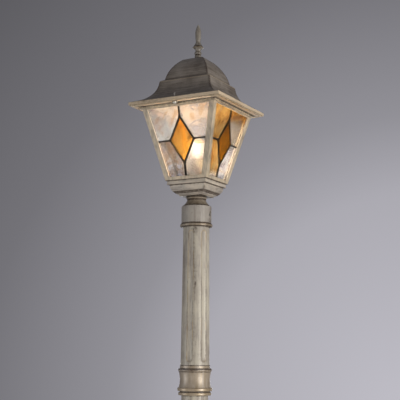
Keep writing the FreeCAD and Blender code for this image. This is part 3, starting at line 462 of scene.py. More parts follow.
zinc = plain_finish("zinc_plate", colour(0.62, 0.60, 0.55), colour(0.45, 0.42, 0.37),
                    metallic=0.9, smooth=0.26, rough=0.45, scale=160, depth=0.1 * MM)
lead = plain_finish("dull_lead", colour(0.036, 0.028, 0.022), colour(0.016, 0.012, 0.010),
                    metallic=0.80, smooth=0.42, rough=0.64, scale=120, depth=0.25 * MM)
brass = plain_finish("plain_brass", colour(0.78, 0.58, 0.25), colour(0.60, 0.42, 0.17),
                     metallic=1.0, smooth=0.24, rough=0.40, scale=140, depth=0.1 * MM)
ceramic = plain_finish("pale_ceramic", colour(0.60, 0.57, 0.52), colour(0.53, 0.50, 0.45),
                       metallic=0.0, smooth=0.48, rough=0.66, scale=70, depth=0.2 * MM)
print("metals:", zinc.name, lead.name, brass.name, "holder:", ceramic.name)

# %% [markdown]
# ## The lamp
#
# The lamp is one sealed solid: a screw cap below and a frosted globe above. Two materials would need
# the mesh cut in two, so one material reads the height instead, with bare metal below the cap's rim
# and frosted glass above it. The light comes from a small pear-shaped core inside. A globe that
# glowed by itself would be evenly white, while frost blurs the core into a bright middle and a softer
# rim. A core that lights the whole lantern would show only as a white disc, so it is held back where
# the eye looks at it, also through glass, and keeps its full light for everything else.

# %% Lamp finish
CAP_RIM = up_from("lamp", 27)
FROST_SCALE = 420
LAMP_INDEX = 1.45
LAMP_BLUR = 0.85


def clear_body(tree, stain, **bending):
    """Glass that bends the eye's rays, while rays on their way to a light pass straight."""
    bent = shader(tree, "Refraction", {"Color": stain, **bending})
    straight = shader(tree, "Transparent", {"Color": stain})
    to_light = add(tree, "ShaderNodeLightPath").outputs["Is Shadow Ray"]
    return mixed(tree, to_light, bent, straight)


lamp_finish, tree, place = new_finish("frosted_lamp")
frost = grain(tree, place, FROST_SCALE, detail=3)
cap = shader(tree, "Principled", {
    "Base Color": tint(tree, frost, colour(0.62, 0.59, 0.53), colour(0.50, 0.47, 0.42)),
    "Metallic": 1.0, "Roughness": spread(tree, frost, 0.3, 0.7, 0.32, 0.5)})
frost_tint = tint(tree, frost, colour(0.98, 0.95, 0.90), colour(0.94, 0.90, 0.84))
clear = clear_body(tree, frost_tint, IOR=LAMP_INDEX, Roughness=LAMP_BLUR)
frosted = shader(tree, "Translucent", {"Color": frost_tint})
globe = mixed(tree, spread(tree, frost, 0.3, 0.7, 0.022, 0.030), clear, frosted)
is_globe = calc(tree, "GREATER_THAN", height_of(tree, place), CAP_RIM)
show(tree, mixed(tree, is_globe, cap, globe))
print("globe starts %.4f m above the floor" % CAP_RIM)

# %% Light core finish
GLOW = colour(1.0, 0.86, 0.70)
GLOW_STRENGTH = 165.0
SHOWN_STRENGTH = 1.6
FLICKER_SCALE = 260

core_finish, tree, place = new_finish("lamp_core")
flicker = grain(tree, place, FLICKER_SCALE, detail=2)
rays = add(tree, "ShaderNodeLightPath").outputs
looked_at = calc(tree, "MAXIMUM", rays["Is Camera Ray"], rays["Is Transmission Ray"])
looked_at = calc(tree, "MULTIPLY", looked_at, calc(tree, "LESS_THAN", rays["Glossy Depth"], 0.5))
show(tree, shader(tree, "Principled", {
    "Base Color": tint(tree, flicker, colour(0.95, 0.90, 0.80), colour(0.90, 0.84, 0.72)),
    "Roughness": 0.5, "Emission Color": GLOW,
    "Emission Strength": spread(tree, looked_at, 0.0, 1.0, GLOW_STRENGTH, SHOWN_STRENGTH)}))
print("lamp glow:", GLOW_STRENGTH, "shown as", SHOWN_STRENGTH)

# %% Light core
GLOBE_RADIUS = 22.5 * MM
GLOBE_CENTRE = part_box("lamp")[1].z - GLOBE_RADIUS
CORE_SIDE = ((2.6, -24), (3.0, -17), (4.5, -12.5), (7.2, -6.5), (8.8, 0), (8.2, 6), (6.2, 11), (3.0, 14.2))
CORE_TIP = 15.2
CORE_TURNS = 32


def ring(radius, level, steps):
    """Points on a level circle round the lantern's axis."""
    turns = [step * 2 * math.pi / steps for step in range(steps)]
    return [(radius * math.cos(angle), radius * math.sin(angle), level) for angle in turns]


def plain_piece(name, points, faces, finish):
    """An object with one finish, from the points and faces of its mesh."""
    mesh = bpy.data.meshes.new(name)
    mesh.from_pydata(points, [], faces)
    mesh.materials.append(finish)
    piece = bpy.data.objects.new(name, mesh)
    scene.collection.objects.link(piece)
    return piece


core_points = [point for radius, level in CORE_SIDE
               for point in ring(radius * MM, GLOBE_CENTRE + level * MM, CORE_TURNS)]
core_foot = len(core_points)
core_points.append((0, 0, GLOBE_CENTRE + CORE_SIDE[0][1] * MM))
core_points.append((0, 0, GLOBE_CENTRE + CORE_TIP * MM))
top_ring = core_foot - CORE_TURNS
core_faces = []
for start in range(0, top_ring, CORE_TURNS):
    above = start + CORE_TURNS
    for step in range(CORE_TURNS):
        following = (step + 1) % CORE_TURNS
        core_faces.append((start + step, start + following, above + following, above + step))
for step in range(CORE_TURNS):
    following = (step + 1) % CORE_TURNS
    core_faces.append((following, step, core_foot))
    core_faces.append((top_ring + step, top_ring + following, core_foot + 1))
lamp_core = plain_piece("lamp_core", core_points, core_faces, core_finish)
lamp_core.data.shade_smooth()
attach(lamp_core, "root")
print("lamp core faces:", len(lamp_core.data.polygons))

# %% [markdown]
# ## Sheet glass
#
# The corner panes are cut from hand-rolled sheet: clear glass with milky haze and drifting wisps of
# amber and mauve. Some cuts have flecks of honey, and colour that runs out to clear. The diamonds
# are streaky amber. A Glass shader would leave the lamp's light on the castings to chance, so a pane
# is mixed from what its glass does: it bends and blurs the eye's rays a little and takes the tint,
# lets rays towards a light pass straight, scatters a share in its milk, and mirrors more at a slant.
# The ripples of the sheet break the mirror up.

# %% One sheet
RIPPLE_SCALE = 55
RIPPLE_RELIEF = 1.2 * MM
GLASS_INDEX = 1.5
GLASS_BLUR = 0.2
HEAD_ON_MIRROR = 0.04


def glazed(tree, place, stain, milk, milk_tint, cut=(0, 0, 0)):
    """One sheet: a stained and rippled body, a share of milk in it and a gloss that grows at a slant."""
    ripple = add(tree, "ShaderNodeBump", {
        "Strength": 0.35, "Distance": RIPPLE_RELIEF,
        "Height": grain(tree, place, RIPPLE_SCALE, detail=2, offset=cut)}).outputs[0]
    clear = clear_body(tree, stain, IOR=GLASS_INDEX, Roughness=GLASS_BLUR, Normal=ripple)
    glow = shader(tree, "Translucent", {"Color": milk_tint, "Normal": ripple})
    haze = shader(tree, "Diffuse", {"Color": milk_tint, "Normal": ripple})
    body = mixed(tree, milk, clear, mixed(tree, 0.3, glow, haze))
    slant = add(tree, "ShaderNodeLayerWeight", {"Blend": 0.5, "Normal": ripple}).outputs["Facing"]
    edge_on = calc(tree, "POWER", slant, 5.0)
    mirror = calc(tree, "MULTIPLY_ADD", edge_on, 1.0 - HEAD_ON_MIRROR, HEAD_ON_MIRROR)
    gloss = shader(tree, "Glossy", {"Roughness": 0.06, "Normal": ripple})
    show(tree, mixed(tree, mirror, body, gloss))


print("a pane mirrors", HEAD_ON_MIRROR, "of the light head on")

# %% Wispy sheets
AMBER_WISP = colour(0.78, 0.55, 0.30)
GREY_WISP = colour(0.70, 0.66, 0.68)
HONEY_FLECK = colour(0.60, 0.37, 0.08)
CLEAR_EDGE = colour(0.98, 0.94, 0.86)
DRIFT_SCALE = 20
HAZE_SCALE = 30
FLECK_SCALE = 75
FADE_DEPTH = 12 * MM


def sheet_glass(name, clear_tint, milk_tint, milk, amber, cut, fleck=0.0, faded=None):
    """Wispy sheet: milk is the least and most light that it scatters, amber where amber wisps start, and
    cut the place on the sheet. Fleck is a share of honey spots; below faded the colour runs out."""
    material, tree, place = new_finish(name)
    drift = grain(tree, place, DRIFT_SCALE, detail=4, roughness=0.5, offset=cut, twist=1.9)
    cloud = grain(tree, place, HAZE_SCALE, detail=5, roughness=0.55, offset=cut, twist=1.1)
    off_wisp = calc(tree, "ABSOLUTE", calc(tree, "SUBTRACT", drift, amber))
    wisp = spread(tree, off_wisp, 0.05, 0.0, 0.0, 0.5)
    amber_share = calc(tree, "MAXIMUM", wisp, spread(tree, drift, amber, amber + 0.15, 0.0, 0.35))
    grey_share = spread(tree, cloud, 0.50, 0.68, 0.0, 0.65)
    stain = tint(tree, amber_share, tint(tree, grey_share, clear_tint, GREY_WISP), AMBER_WISP)
    scatter = tint(tree, amber_share, tint(tree, grey_share, milk_tint, GREY_WISP), AMBER_WISP)
    if fleck:
        speckle = grain(tree, place, FLECK_SCALE, detail=5, roughness=0.6, offset=cut, twist=0.6)
        spots = spread(tree, speckle, 0.47, 0.66, 0.0, fleck)
        stain = tint(tree, spots, stain, HONEY_FLECK)
        scatter = tint(tree, spots, scatter, HONEY_FLECK)
    if faded:
        ragged = calc(tree, "MULTIPLY_ADD", drift, -FADE_DEPTH, height_of(tree, place))
        stained = spread(tree, ragged, faded - FADE_DEPTH, faded)
        stain = tint(tree, stained, CLEAR_EDGE, stain)
        scatter = tint(tree, stained, CLEAR_EDGE, scatter)
    glazed(tree, place, stain, spread(tree, cloud, 0.35, 0.68, *milk), scatter, cut)
    return material


HONEY = (colour(0.86, 0.74, 0.47), colour(0.82, 0.67, 0.34))
COOL_CLEAR = colour(0.97, 0.96, 0.97)
cloudy_glass = sheet_glass("cloudy_sheet", COOL_CLEAR, colour(0.76, 0.88, 1.00),
                           milk=(0.12, 0.26), amber=0.60, cut=(0, 0, 0))
wispy_glass = sheet_glass("wispy_sheet", COOL_CLEAR, colour(0.74, 0.86, 1.00),
                          milk=(0.025, 0.06), amber=0.50, cut=(0.7, 0.2, 0.1))
peach_glass = sheet_glass("peach_sheet", colour(0.98, 0.95, 0.92), colour(0.88, 0.92, 1.00),
                          milk=(0.17, 0.30), amber=0.60, cut=(0.4, 0.1, 0.2))
honey_glass = sheet_glass("honey_sheet", *HONEY, milk=(0.08, 0.15), amber=0.42, cut=(0.2, 0.7, 0.5),
                          fleck=0.85, faded=up_from("cage", 15.5))
gold_topped_glass = sheet_glass("gold_topped_sheet", *HONEY, milk=(0.03, 0.07), amber=0.42,
                                cut=(0.5, 0.2, 0.9), fleck=0.85, faded=up_from("cage", 121.5))
pale_glass = sheet_glass("pale_sheet", colour(0.98, 0.97, 0.96), colour(0.92, 0.94, 0.96),
                         milk=(0.05, 0.085), amber=0.69, cut=(0.9, 0.3, 0.6))
clear_glass = sheet_glass("clear_sheet", colour(0.99, 0.985, 0.98), colour(0.94, 0.94, 0.94),
                          milk=(0.02, 0.05), amber=0.62, cut=(0.3, 0.5, 0.8))
sheets = (cloudy_glass, wispy_glass, peach_glass, honey_glass, gold_topped_glass, pale_glass, clear_glass)
print("sheets:", ", ".join(sheet.name for sheet in sheets))

# %% Amber for the diamonds
STREAK_SCALE = 46
STREAK_STRETCH = (1.6, 1.6, 0.4)


def amber_sheet(name, pale, deep):
    """Streaky amber: deeper streaks run up the piece."""
    material, tree, place = new_finish(name)
    streak = grain(tree, place, STREAK_SCALE, detail=5, stretch=STREAK_STRETCH, twist=1.2)
    stain = tint(tree, spread(tree, streak, 0.34, 0.66), pale, deep)
    glazed(tree, place, stain, spread(tree, streak, 0.3, 0.7, 0.04, 0.09), stain)
    return material


light_amber = amber_sheet("light_amber", colour(0.88, 0.68, 0.34), colour(0.86, 0.56, 0.16))
deep_amber = amber_sheet("deep_amber", colour(0.70, 0.46, 0.055), colour(0.48, 0.28, 0.01))
print("ambers:", light_amber.name, deep_amber.name)

# %% [markdown]
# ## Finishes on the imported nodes
#
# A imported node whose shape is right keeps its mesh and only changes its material. A copy could be
# dressed instead, but then two shapes would have to be kept alike. The corner panes come from
# different places on the sheet, so each face lists which cut it has in each corner.

# %% Dress the nodes
FINISHES = {
    cage_paint: ("cage",),
    foot_paint: ("foot",),
    head_paint: ("head_collar",),
    tray_paint: ("tray",),
    gilded_paint: ("middle_collar",),
    shaded_roof_paint: ("roof",),
    shaded_finial_paint: ("finial",),
    zinc: ("grub_screws", "finial_nut", "nipple", "nipple_nuts"),
    brass: ("screw_shell", "centre_contact"),
    ceramic: ("lampholder",),
    lamp_finish: ("lamp",),
}
PANE_CORNERS = ("upper_left", "upper_right", "lower_left", "lower_right")
DIAMOND_CUTS = {"front": light_amber, "right": deep_amber, "rear": light_amber, "left": deep_amber}
SHEET_CUTS = {
    "front": (cloudy_glass, peach_glass, wispy_glass, pale_glass),
    "right": (honey_glass, gold_topped_glass, honey_glass, pale_glass),
    "rear": (wispy_glass, pale_glass, clear_glass, wispy_glass),
    "left": (peach_glass, wispy_glass, clear_glass, pale_glass),
}
dressed = []


def dress(node, finish):
    """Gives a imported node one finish."""
    nodes[node].data.materials.clear()
    nodes[node].data.materials.append(finish)
    dressed.append(node)


for finish, names in FINISHES.items():
    for name in names:
        dress(name, finish)
for side, cuts in SHEET_CUTS.items():
    dress(side + "_came", lead)
    dress(side + "_amber_diamond", DIAMOND_CUTS[side])
    for corner_name, cut in zip(PANE_CORNERS, cuts):
        dress("%s_pane_%s" % (side, corner_name), cut)
print("dressed:", len(dressed), "nodes")

# %% [markdown]
# ## Trees that follow a rule
#
# A Geometry Nodes tree here is a rule with named sizes. It could stay on the piece as a modifier, but
# a piece that leaves Blender has to be a plain mesh. So the tree runs on a carrier object, its result
# is copied out as a mesh with its place in it, and the carrier and its modifier are removed.

# %% Rule helpers
CREASE = math.radians(40)


def new_rule(name, sizes, with_points=False):
    """A tree with one named input for each size; returns it and its sockets."""
    tree = bpy.data.node_groups.new(name, "GeometryNodeTree")
    tree.interface.new_socket("Geometry", in_out="OUTPUT", socket_type="NodeSocketGeometry")
    if with_points:
        tree.interface.new_socket("Geometry", in_out="INPUT", socket_type="NodeSocketGeometry")
    for size, kind in sizes.items():
        tree.interface.new_socket(size, in_out="INPUT", socket_type="NodeSocket" + kind)
    return tree, add(tree, "NodeGroupInput").outputs


def end_rule(tree, geometry, finish):
    """Makes instances real, gives them their finish and ends the tree."""
    real = add(tree, "GeometryNodeRealizeInstances", {0: geometry})
    done = add(tree, "GeometryNodeSetMaterial", {"Geometry": real.outputs[0], "Material": finish})
    add(tree, "NodeGroupOutput", {0: done.outputs[0]})


def soften(tree, geometry, limit=CREASE):
    """Smooth faces, with a crease where two faces meet at more than the limit."""
    smooth = add(tree, "GeometryNodeSetShadeSmooth", {"Geometry": geometry})
    angle = add(tree, "GeometryNodeInputMeshEdgeAngle").outputs["Unsigned Angle"]
    sharp = calc(tree, "GREATER_THAN", angle, limit)
    creased = add(tree, "GeometryNodeSetShadeSmooth", {
        "Geometry": smooth.outputs[0], "Selection": sharp, "Shade Smooth": False}, domain="EDGE")
    return creased.outputs[0]


def make_by_rule(name, tree, sizes, seed_mesh=None):
    """Runs a tree with these sizes and keeps the result as a plain mesh piece."""
    carrier = bpy.data.objects.new(name + "_carrier", seed_mesh or bpy.data.meshes.new(name + "_seed"))
    scene.collection.objects.link(carrier)
    modifier = carrier.modifiers.new("rule", "NODES")
    modifier.node_group = tree
    for item in tree.interface.items_tree:
        if item.in_out == "INPUT" and item.name in sizes:
            modifier[item.identifier] = sizes[item.name]
    bpy.context.view_layer.update()
    mesh = bpy.data.meshes.new_from_object(carrier.evaluated_get(bpy.context.evaluated_depsgraph_get()))
    mesh.name = name
    bpy.data.objects.remove(carrier)
    piece = bpy.data.objects.new(name, mesh)
    scene.collection.objects.link(piece)
    print(name, "faces:", len(mesh.polygons))
    return piece


print("faces crease where they meet at more than %.0f degrees" % math.degrees(CREASE))

# %% [markdown]
# ## The fluted posts
#
# Each post length is a tapered cast tube with six round-ended flutes. It could be a cylinder with
# six cutters taken from it, but a casting has soft shoulders where a flute meets the skin. So one
# grid is wrapped into a closed tube, outside, over the rim and down the bore, and every point works
# out how far it lies inside the nearest flute. The smooth maximum rounds the shoulder. The rule also
# stores how near each point is to that shoulder, where the painter's brown wash stays.

# %% Post rule, the tube
POST_SIZES = {
    "Foot": "Float", "Length": "Float", "Foot Radius": "Float", "Top Radius": "Float", "Wall": "Float",
    "Flutes": "Float", "First Flute": "Float", "Flute Radius": "Float", "Flute Depth": "Float",
    "Flute Low": "Float", "Flute High": "Float", "Shoulder": "Float", "Line": "Float",
    "Columns": "Int", "Rows": "Int",
}
post_rule, size = new_rule("fluted_post_rule", POST_SIZES)
post_sum = partial(calc, post_rule)

# Three rows follow those of the skin: the rim of the bore, its foot, and the first row again.
last_row = post_sum("ADD", size["Rows"], 3)
grid = add(post_rule, "GeometryNodeMeshGrid", {
    "Size X": 1.0, "Size Y": 1.0, "Vertices X": post_sum("ADD", size["Columns"], 1),
    "Vertices Y": post_sum("ADD", last_row, 1)})
spot = add(post_rule, "ShaderNodeSeparateXYZ", {0: add(post_rule, "GeometryNodeInputPosition").outputs[0]})
row = post_sum("ROUND", post_sum("MULTIPLY", post_sum("ADD", spot.outputs["Y"], 0.5), last_row))
past_rim = post_sum("GREATER_THAN", row, post_sum("ADD", size["Rows"], 0.5))
back_down = post_sum("GREATER_THAN", row, post_sum("ADD", size["Rows"], 1.5))
closing = post_sum("GREATER_THAN", row, post_sum("ADD", size["Rows"], 2.5))
in_bore = post_sum("SUBTRACT", past_rim, closing)
climb = post_sum("MINIMUM", post_sum("DIVIDE", row, size["Rows"]), 1.0)
climb = post_sum("MULTIPLY", climb, post_sum("SUBTRACT", 1.0, back_down))
rise = post_sum("MULTIPLY", climb, size["Length"])
taper = post_sum("SUBTRACT", size["Top Radius"], size["Foot Radius"])
skin = post_sum("MULTIPLY_ADD", climb, taper, size["Foot Radius"])
around = post_sum("MULTIPLY", post_sum("ADD", spot.outputs["X"], 0.5), 2 * math.pi)
print("post rule, nodes for the tube:", len(post_rule.nodes))

# %% Post rule, the flutes
half_pitch = post_sum("DIVIDE", math.pi, size["Flutes"])
from_first = post_sum("SUBTRACT", around, size["First Flute"])
off_line = post_sum("WRAP", from_first, half_pitch, post_sum("MULTIPLY", half_pitch, -1.0))
beside = post_sum("MULTIPLY", skin, post_sum("SINE", off_line))
below_end = post_sum("SUBTRACT", size["Flute Low"], rise)
above_end = post_sum("SUBTRACT", rise, size["Flute High"])
beyond = post_sum("MAXIMUM", post_sum("MAXIMUM", below_end, above_end), 0.0)
off_square = post_sum("MULTIPLY_ADD", beside, beside, post_sum("MULTIPLY", beyond, beyond))
flute_square = post_sum("MULTIPLY", size["Flute Radius"], size["Flute Radius"])
ball = post_sum("MAXIMUM", post_sum("SUBTRACT", flute_square, off_square), 0.0)
stand_off = post_sum("SUBTRACT", size["Flute Radius"], size["Flute Depth"])
bite = post_sum("SUBTRACT", post_sum("SQRT", ball), stand_off)
dip = post_sum("SMOOTH_MAX", bite, 0.0, size["Shoulder"])
outside = post_sum("SUBTRACT", skin, dip)
bore = post_sum("SUBTRACT", skin, size["Wall"])
reach = post_sum("MULTIPLY_ADD", in_bore, post_sum("SUBTRACT", bore, outside), outside)
wrapped = add(post_rule, "ShaderNodeCombineXYZ", {
    "X": post_sum("MULTIPLY", reach, post_sum("COSINE", around)),
    "Y": post_sum("MULTIPLY", reach, post_sum("SINE", around)),
    "Z": post_sum("ADD", rise, size["Foot"])})
print("post rule, nodes with the flutes:", len(post_rule.nodes))

# %% Post rule, the wash line
LINE_SHARE = 0.75
SEAM_GAP = 0.01 * MM

stand_off_square = post_sum("MULTIPLY", stand_off, stand_off)
flute_half = post_sum("SQRT", post_sum("SUBTRACT", flute_square, stand_off_square))
from_shoulder = post_sum("ABSOLUTE", post_sum("SUBTRACT", post_sum("SQRT", off_square), flute_half))
wash_line = post_sum("SUBTRACT", 1.0, post_sum("DIVIDE", from_shoulder, size["Line"]))
wash_line = post_sum("MULTIPLY", post_sum("MAXIMUM", wash_line, 0.0), post_sum("SUBTRACT", 1.0, in_bore))
marked = add(post_rule, "GeometryNodeStoreNamedAttribute", {
    "Geometry": grid.outputs["Mesh"], "Name": "wash",
    "Value": post_sum("MULTIPLY", wash_line, LINE_SHARE)}, data_type="FLOAT", domain="POINT")
tube = add(post_rule, "GeometryNodeSetPosition", {
    "Geometry": marked.outputs[0], "Position": wrapped.outputs[0]})
closed = add(post_rule, "GeometryNodeMergeByDistance", {"Geometry": tube.outputs[0], "Distance": SEAM_GAP})
end_rule(post_rule, soften(post_rule, closed.outputs[0]), post_paint)
print("post rule, nodes in all:", len(post_rule.nodes))

# %% Both post lengths
FLUTE_RADIUS = 10 * MM
FLUTE_DEPTH = 1.8 * MM
FLUTE_HALF_WIDTH = math.sqrt(2 * FLUTE_RADIUS * FLUTE_DEPTH - FLUTE_DEPTH ** 2)
FLUTE_FOOT_MARGIN = 6.5 * MM
FLUTE_TOP_MARGIN = 40 * MM
for node in ("lower_post", "upper_post"):
    low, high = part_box(node)
    length = high.z - low.z
    post = make_by_rule(node.replace("post", "fluted_post"), post_rule, {
        "Foot": low.z, "Length": length, "Foot Radius": 28 * MM, "Top Radius": 25.5 * MM, "Wall": 4 * MM,
        "Flutes": 6.0, "First Flute": math.radians(-85), "Flute Radius": FLUTE_RADIUS,
        "Flute Depth": FLUTE_DEPTH, "Flute Low": FLUTE_FOOT_MARGIN + FLUTE_HALF_WIDTH,
        "Flute High": length - FLUTE_TOP_MARGIN - FLUTE_HALF_WIDTH, "Shoulder": 0.6 * MM, "Line": 1.8 * MM,
        "Columns": 216, "Rows": 170})
    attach(post, "root")
    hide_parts(node)

# %% [markdown]
# ## Solder on the lead joints
#
# Where two strips of came meet, a drop of solder is run over the joint and sets as a low dome. There
# are four joints at the tips of each diamond, inside and outside. The domes could be set by hand, one
# by one, but the faces lean and all 32 are alike. So one dome is instanced on points that carry the
# direction they face, and a seeded spread of sizes keeps them handmade.

# %% Solder rule
SOLDER_SPREAD = (0.85, 1.15)
SOLDER_SEED = 4

solder_rule, size = new_rule("solder_rule", {"Radius": "Float", "Rise": "Float"}, with_points=True)
dome = add(solder_rule, "GeometryNodeMeshUVSphere", {"Segments": 18, "Rings": 8, "Radius": 1.0})
flattened = add(solder_rule, "ShaderNodeCombineXYZ", {
    "X": size["Radius"], "Y": size["Radius"], "Z": size["Rise"]})
facing = add(solder_rule, "GeometryNodeInputNamedAttribute", {"Name": "facing"}, data_type="FLOAT_VECTOR")
aim = add(solder_rule, "FunctionNodeAlignRotationToVector", {"Vector": facing.outputs[0]}, axis="Z")
uneven = add(solder_rule, "FunctionNodeRandomValue", {
    2: SOLDER_SPREAD[0], 3: SOLDER_SPREAD[1], "Seed": SOLDER_SEED}, data_type="FLOAT")
sized = add(solder_rule, "ShaderNodeVectorMath", {
    0: flattened.outputs[0], "Scale": uneven.outputs[1]}, operation="SCALE")
points = add(solder_rule, "GeometryNodeMeshToPoints", {0: size["Geometry"]})
drops = add(solder_rule, "GeometryNodeInstanceOnPoints", {
    "Points": points.outputs[0], "Instance": dome.outputs["Mesh"], "Rotation": aim.outputs[0],
    "Scale": sized.outputs[0]})
real_drops = add(solder_rule, "GeometryNodeRealizeInstances", {0: drops.outputs[0]})
end_rule(solder_rule, soften(solder_rule, real_drops.outputs[0], limit=math.pi), lead)
print("solder rule nodes:", len(solder_rule.nodes))

# %% Solder domes
CAGE_HALF_FOOT = 45.3 * MM
CAGE_FLARE = 35 * MM
CAGE_FACE_HEIGHT = 141 * MM
CAGE_LEAN = math.atan2(CAGE_FLARE, CAGE_FACE_HEIGHT)
DIAMOND_HALF = 26 * MM
DIAMOND_RISE = 45.3 * MM
DIAMOND_CENTRE = 77.3 * MM
PANE_DEPTH = 4.3 * MM
CAME_HALF = 2.2 * MM

joints = []
directions = []
for quarter in range(4):
    swing = Matrix.Rotation(quarter * math.pi / 2, 3, "Z")
    along = swing @ Vector((1, 0, 0))
    up_slope = swing @ Vector((0, -math.sin(CAGE_LEAN), math.cos(CAGE_LEAN)))
    outward = swing @ Vector((0, -math.cos(CAGE_LEAN), -math.sin(CAGE_LEAN)))
    face_foot = swing @ Vector((0, -CAGE_HALF_FOOT, up_from("cage", 0))) - outward * PANE_DEPTH
    for across, up in ((1, 0), (-1, 0), (0, 1), (0, -1)):
        middle = face_foot + along * across * DIAMOND_HALF + up_slope * (DIAMOND_CENTRE + up * DIAMOND_RISE)
        for side in (1, -1):
            joints.append(middle + outward * side * CAME_HALF)
            directions.append(outward * side)
joint_mesh = bpy.data.meshes.new("lead_joints")
joint_mesh.from_pydata(joints, [], [])
mark = joint_mesh.attributes.new("facing", "FLOAT_VECTOR", "POINT")
for item, direction in zip(mark.data, directions):
    item.vector = direction
solder = make_by_rule("solder_joints", solder_rule, {"Radius": 2.7 * MM, "Rise": 0.6 * MM}, joint_mesh)
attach(solder, "root")

# %% [markdown]
# ## Screws
#
# Two screws come up through the cornice into the roof, and their points stand proud of its skirt.
# Four more hold the cage down on the tray. A plain pin would pass from far off, but close up a screw
# is known by its thread. So a screw is a tapered shank, a pan head with a driver slot and a helical
# thread: the thread is a spiral swept with a small section, and one screw is instanced on each place.

# %% Screw rule, the head
SCREW_SIZES = {
    "Head Radius": "Float", "Head Height": "Float", "Shank Radius": "Float", "Shank Length": "Float",
    "Pitch": "Float", "Slot": "Float", "Tip Down": "Float",
}
HEAD_SIDES = 32
MIDDLE_SHARE = 0.9
CROWN_SHARE = 0.55
screw_rule, size = new_rule("screw_rule", SCREW_SIZES, with_points=True)
screw_sum = partial(calc, screw_rule)


def part_of(length, share):
    """A share of one of the screw's lengths."""
    return screw_sum("MULTIPLY", length, share)


def shifted(geometry, level):
    """The same shape, moved along the screw."""
    lift = add(screw_rule, "ShaderNodeCombineXYZ", {"Z": level})
    moved = add(screw_rule, "GeometryNodeTransform", {"Geometry": geometry, "Translation": lift.outputs[0]})
    return moved.outputs[0]


def cone(sides, top, bottom, depth):
    """A closed cone that stands on its origin."""
    return add(screw_rule, "GeometryNodeMeshCone", {
        "Vertices": sides, "Radius Top": top, "Radius Bottom": bottom, "Depth": depth}).outputs["Mesh"]


head_radius = size["Head Radius"]
head_middle = part_of(head_radius, MIDDLE_SHARE)
half_head = part_of(size["Head Height"], 0.5)
rim = cone(HEAD_SIDES, head_radius, head_middle, half_head)
crown = cone(HEAD_SIDES, head_middle, part_of(head_radius, CROWN_SHARE), half_head)
upper_head = shifted(rim, part_of(half_head, -1.0))
lower_head = shifted(crown, part_of(half_head, -2.0))
slot_size = add(screw_rule, "ShaderNodeCombineXYZ", {
    "X": part_of(head_radius, 4.0), "Y": size["Slot"], "Z": size["Head Height"]})
slot_block = add(screw_rule, "GeometryNodeMeshCube", {"Size": slot_size.outputs[0]})
slot_cut = shifted(slot_block.outputs["Mesh"], part_of(half_head, -2.2))
slotted = add(screw_rule, "GeometryNodeMeshBoolean", {
    "Mesh 1": lower_head, "Mesh 2": slot_cut}, operation="DIFFERENCE", solver="EXACT").outputs["Mesh"]
print("screw rule, nodes for the head:", len(screw_rule.nodes))

# %% Screw rule, the shank
SHANK_SIDES = 24
TIP_SHARE = 0.8
THREAD_SHARE = 0.35
HELIX_STEPS = 20

pitch = size["Pitch"]
thread_depth = part_of(pitch, THREAD_SHARE)
core_radius = screw_sum("SUBTRACT", size["Shank Radius"], thread_depth)
shank = cone(SHANK_SIDES, part_of(core_radius, TIP_SHARE), core_radius, size["Shank Length"])
turns = screw_sum("SUBTRACT", screw_sum("DIVIDE", size["Shank Length"], pitch), 1.0)
helix = add(screw_rule, "GeometryNodeCurveSpiral", {
    "Resolution": HELIX_STEPS, "Rotations": turns, "Start Radius": core_radius, "End Radius": core_radius,
    "Height": screw_sum("MULTIPLY", turns, pitch)})
section = add(screw_rule, "GeometryNodeCurvePrimitiveCircle", {
    "Resolution": 4, "Radius": thread_depth}, mode="RADIUS")
thread = add(screw_rule, "GeometryNodeCurveToMesh", {
    "Curve": helix.outputs[0], "Profile Curve": section.outputs[0], "Fill Caps": True}).outputs[0]
screw = add(screw_rule, "GeometryNodeJoinGeometry")
for part in (upper_head, slotted, shank, shifted(thread, part_of(pitch, 0.5))):
    screw_rule.links.new(part, screw.inputs[0])
flip = add(screw_rule, "ShaderNodeCombineXYZ", {"X": part_of(size["Tip Down"], math.pi)})
placed = add(screw_rule, "GeometryNodeInstanceOnPoints", {
    "Points": add(screw_rule, "GeometryNodeMeshToPoints", {0: size["Geometry"]}).outputs[0],
    "Instance": soften(screw_rule, screw.outputs[0]), "Rotation": flip.outputs[0]})
end_rule(screw_rule, placed.outputs[0], zinc)
print("screw rule, nodes in all:", len(screw_rule.nodes))

# %% Roof and cage screws
ROOF_SCREW_OUT = 91 * MM
ROOF_HEAD = 3.2 * MM
CAGE_SCREW_OUT = 30.5 * MM
CAGE_HEAD = 2.6 * MM
CAGE_SHANK = 14 * MM
THREAD_PITCH = 0.9 * MM
roof_low, roof_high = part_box("roof_screws")
cage_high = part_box("cage_screws")[1]
SCREWS = {
    "roof_screws": ([(0, -ROOF_SCREW_OUT), (0, ROOF_SCREW_OUT)], roof_low.z + ROOF_HEAD, {
        "Head Radius": 4.2 * MM, "Head Height": ROOF_HEAD, "Shank Radius": 2 * MM,
        "Shank Length": roof_high.z - roof_low.z - ROOF_HEAD, "Pitch": THREAD_PITCH, "Slot": 1.1 * MM,
        "Tip Down": 0.0}),
    "cage_screws": ([(x * CAGE_SCREW_OUT, y * CAGE_SCREW_OUT) for x in (1, -1) for y in (1, -1)],
                    cage_high.z - CAGE_HEAD, {
        "Head Radius": 3.5 * MM, "Head Height": CAGE_HEAD, "Shank Radius": 1.9 * MM,
        "Shank Length": CAGE_SHANK, "Pitch": THREAD_PITCH, "Slot": 1.0 * MM, "Tip Down": 1.0}),
}
for node, (places, seat, sizes) in SCREWS.items():
    seats = bpy.data.meshes.new(node + "_seats")
    seats.from_pydata([(x, y, seat) for x, y in places], [], [])
    screws = make_by_rule("threaded_" + node, screw_rule, sizes, seats)
    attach(screws, "root")
    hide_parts(node)

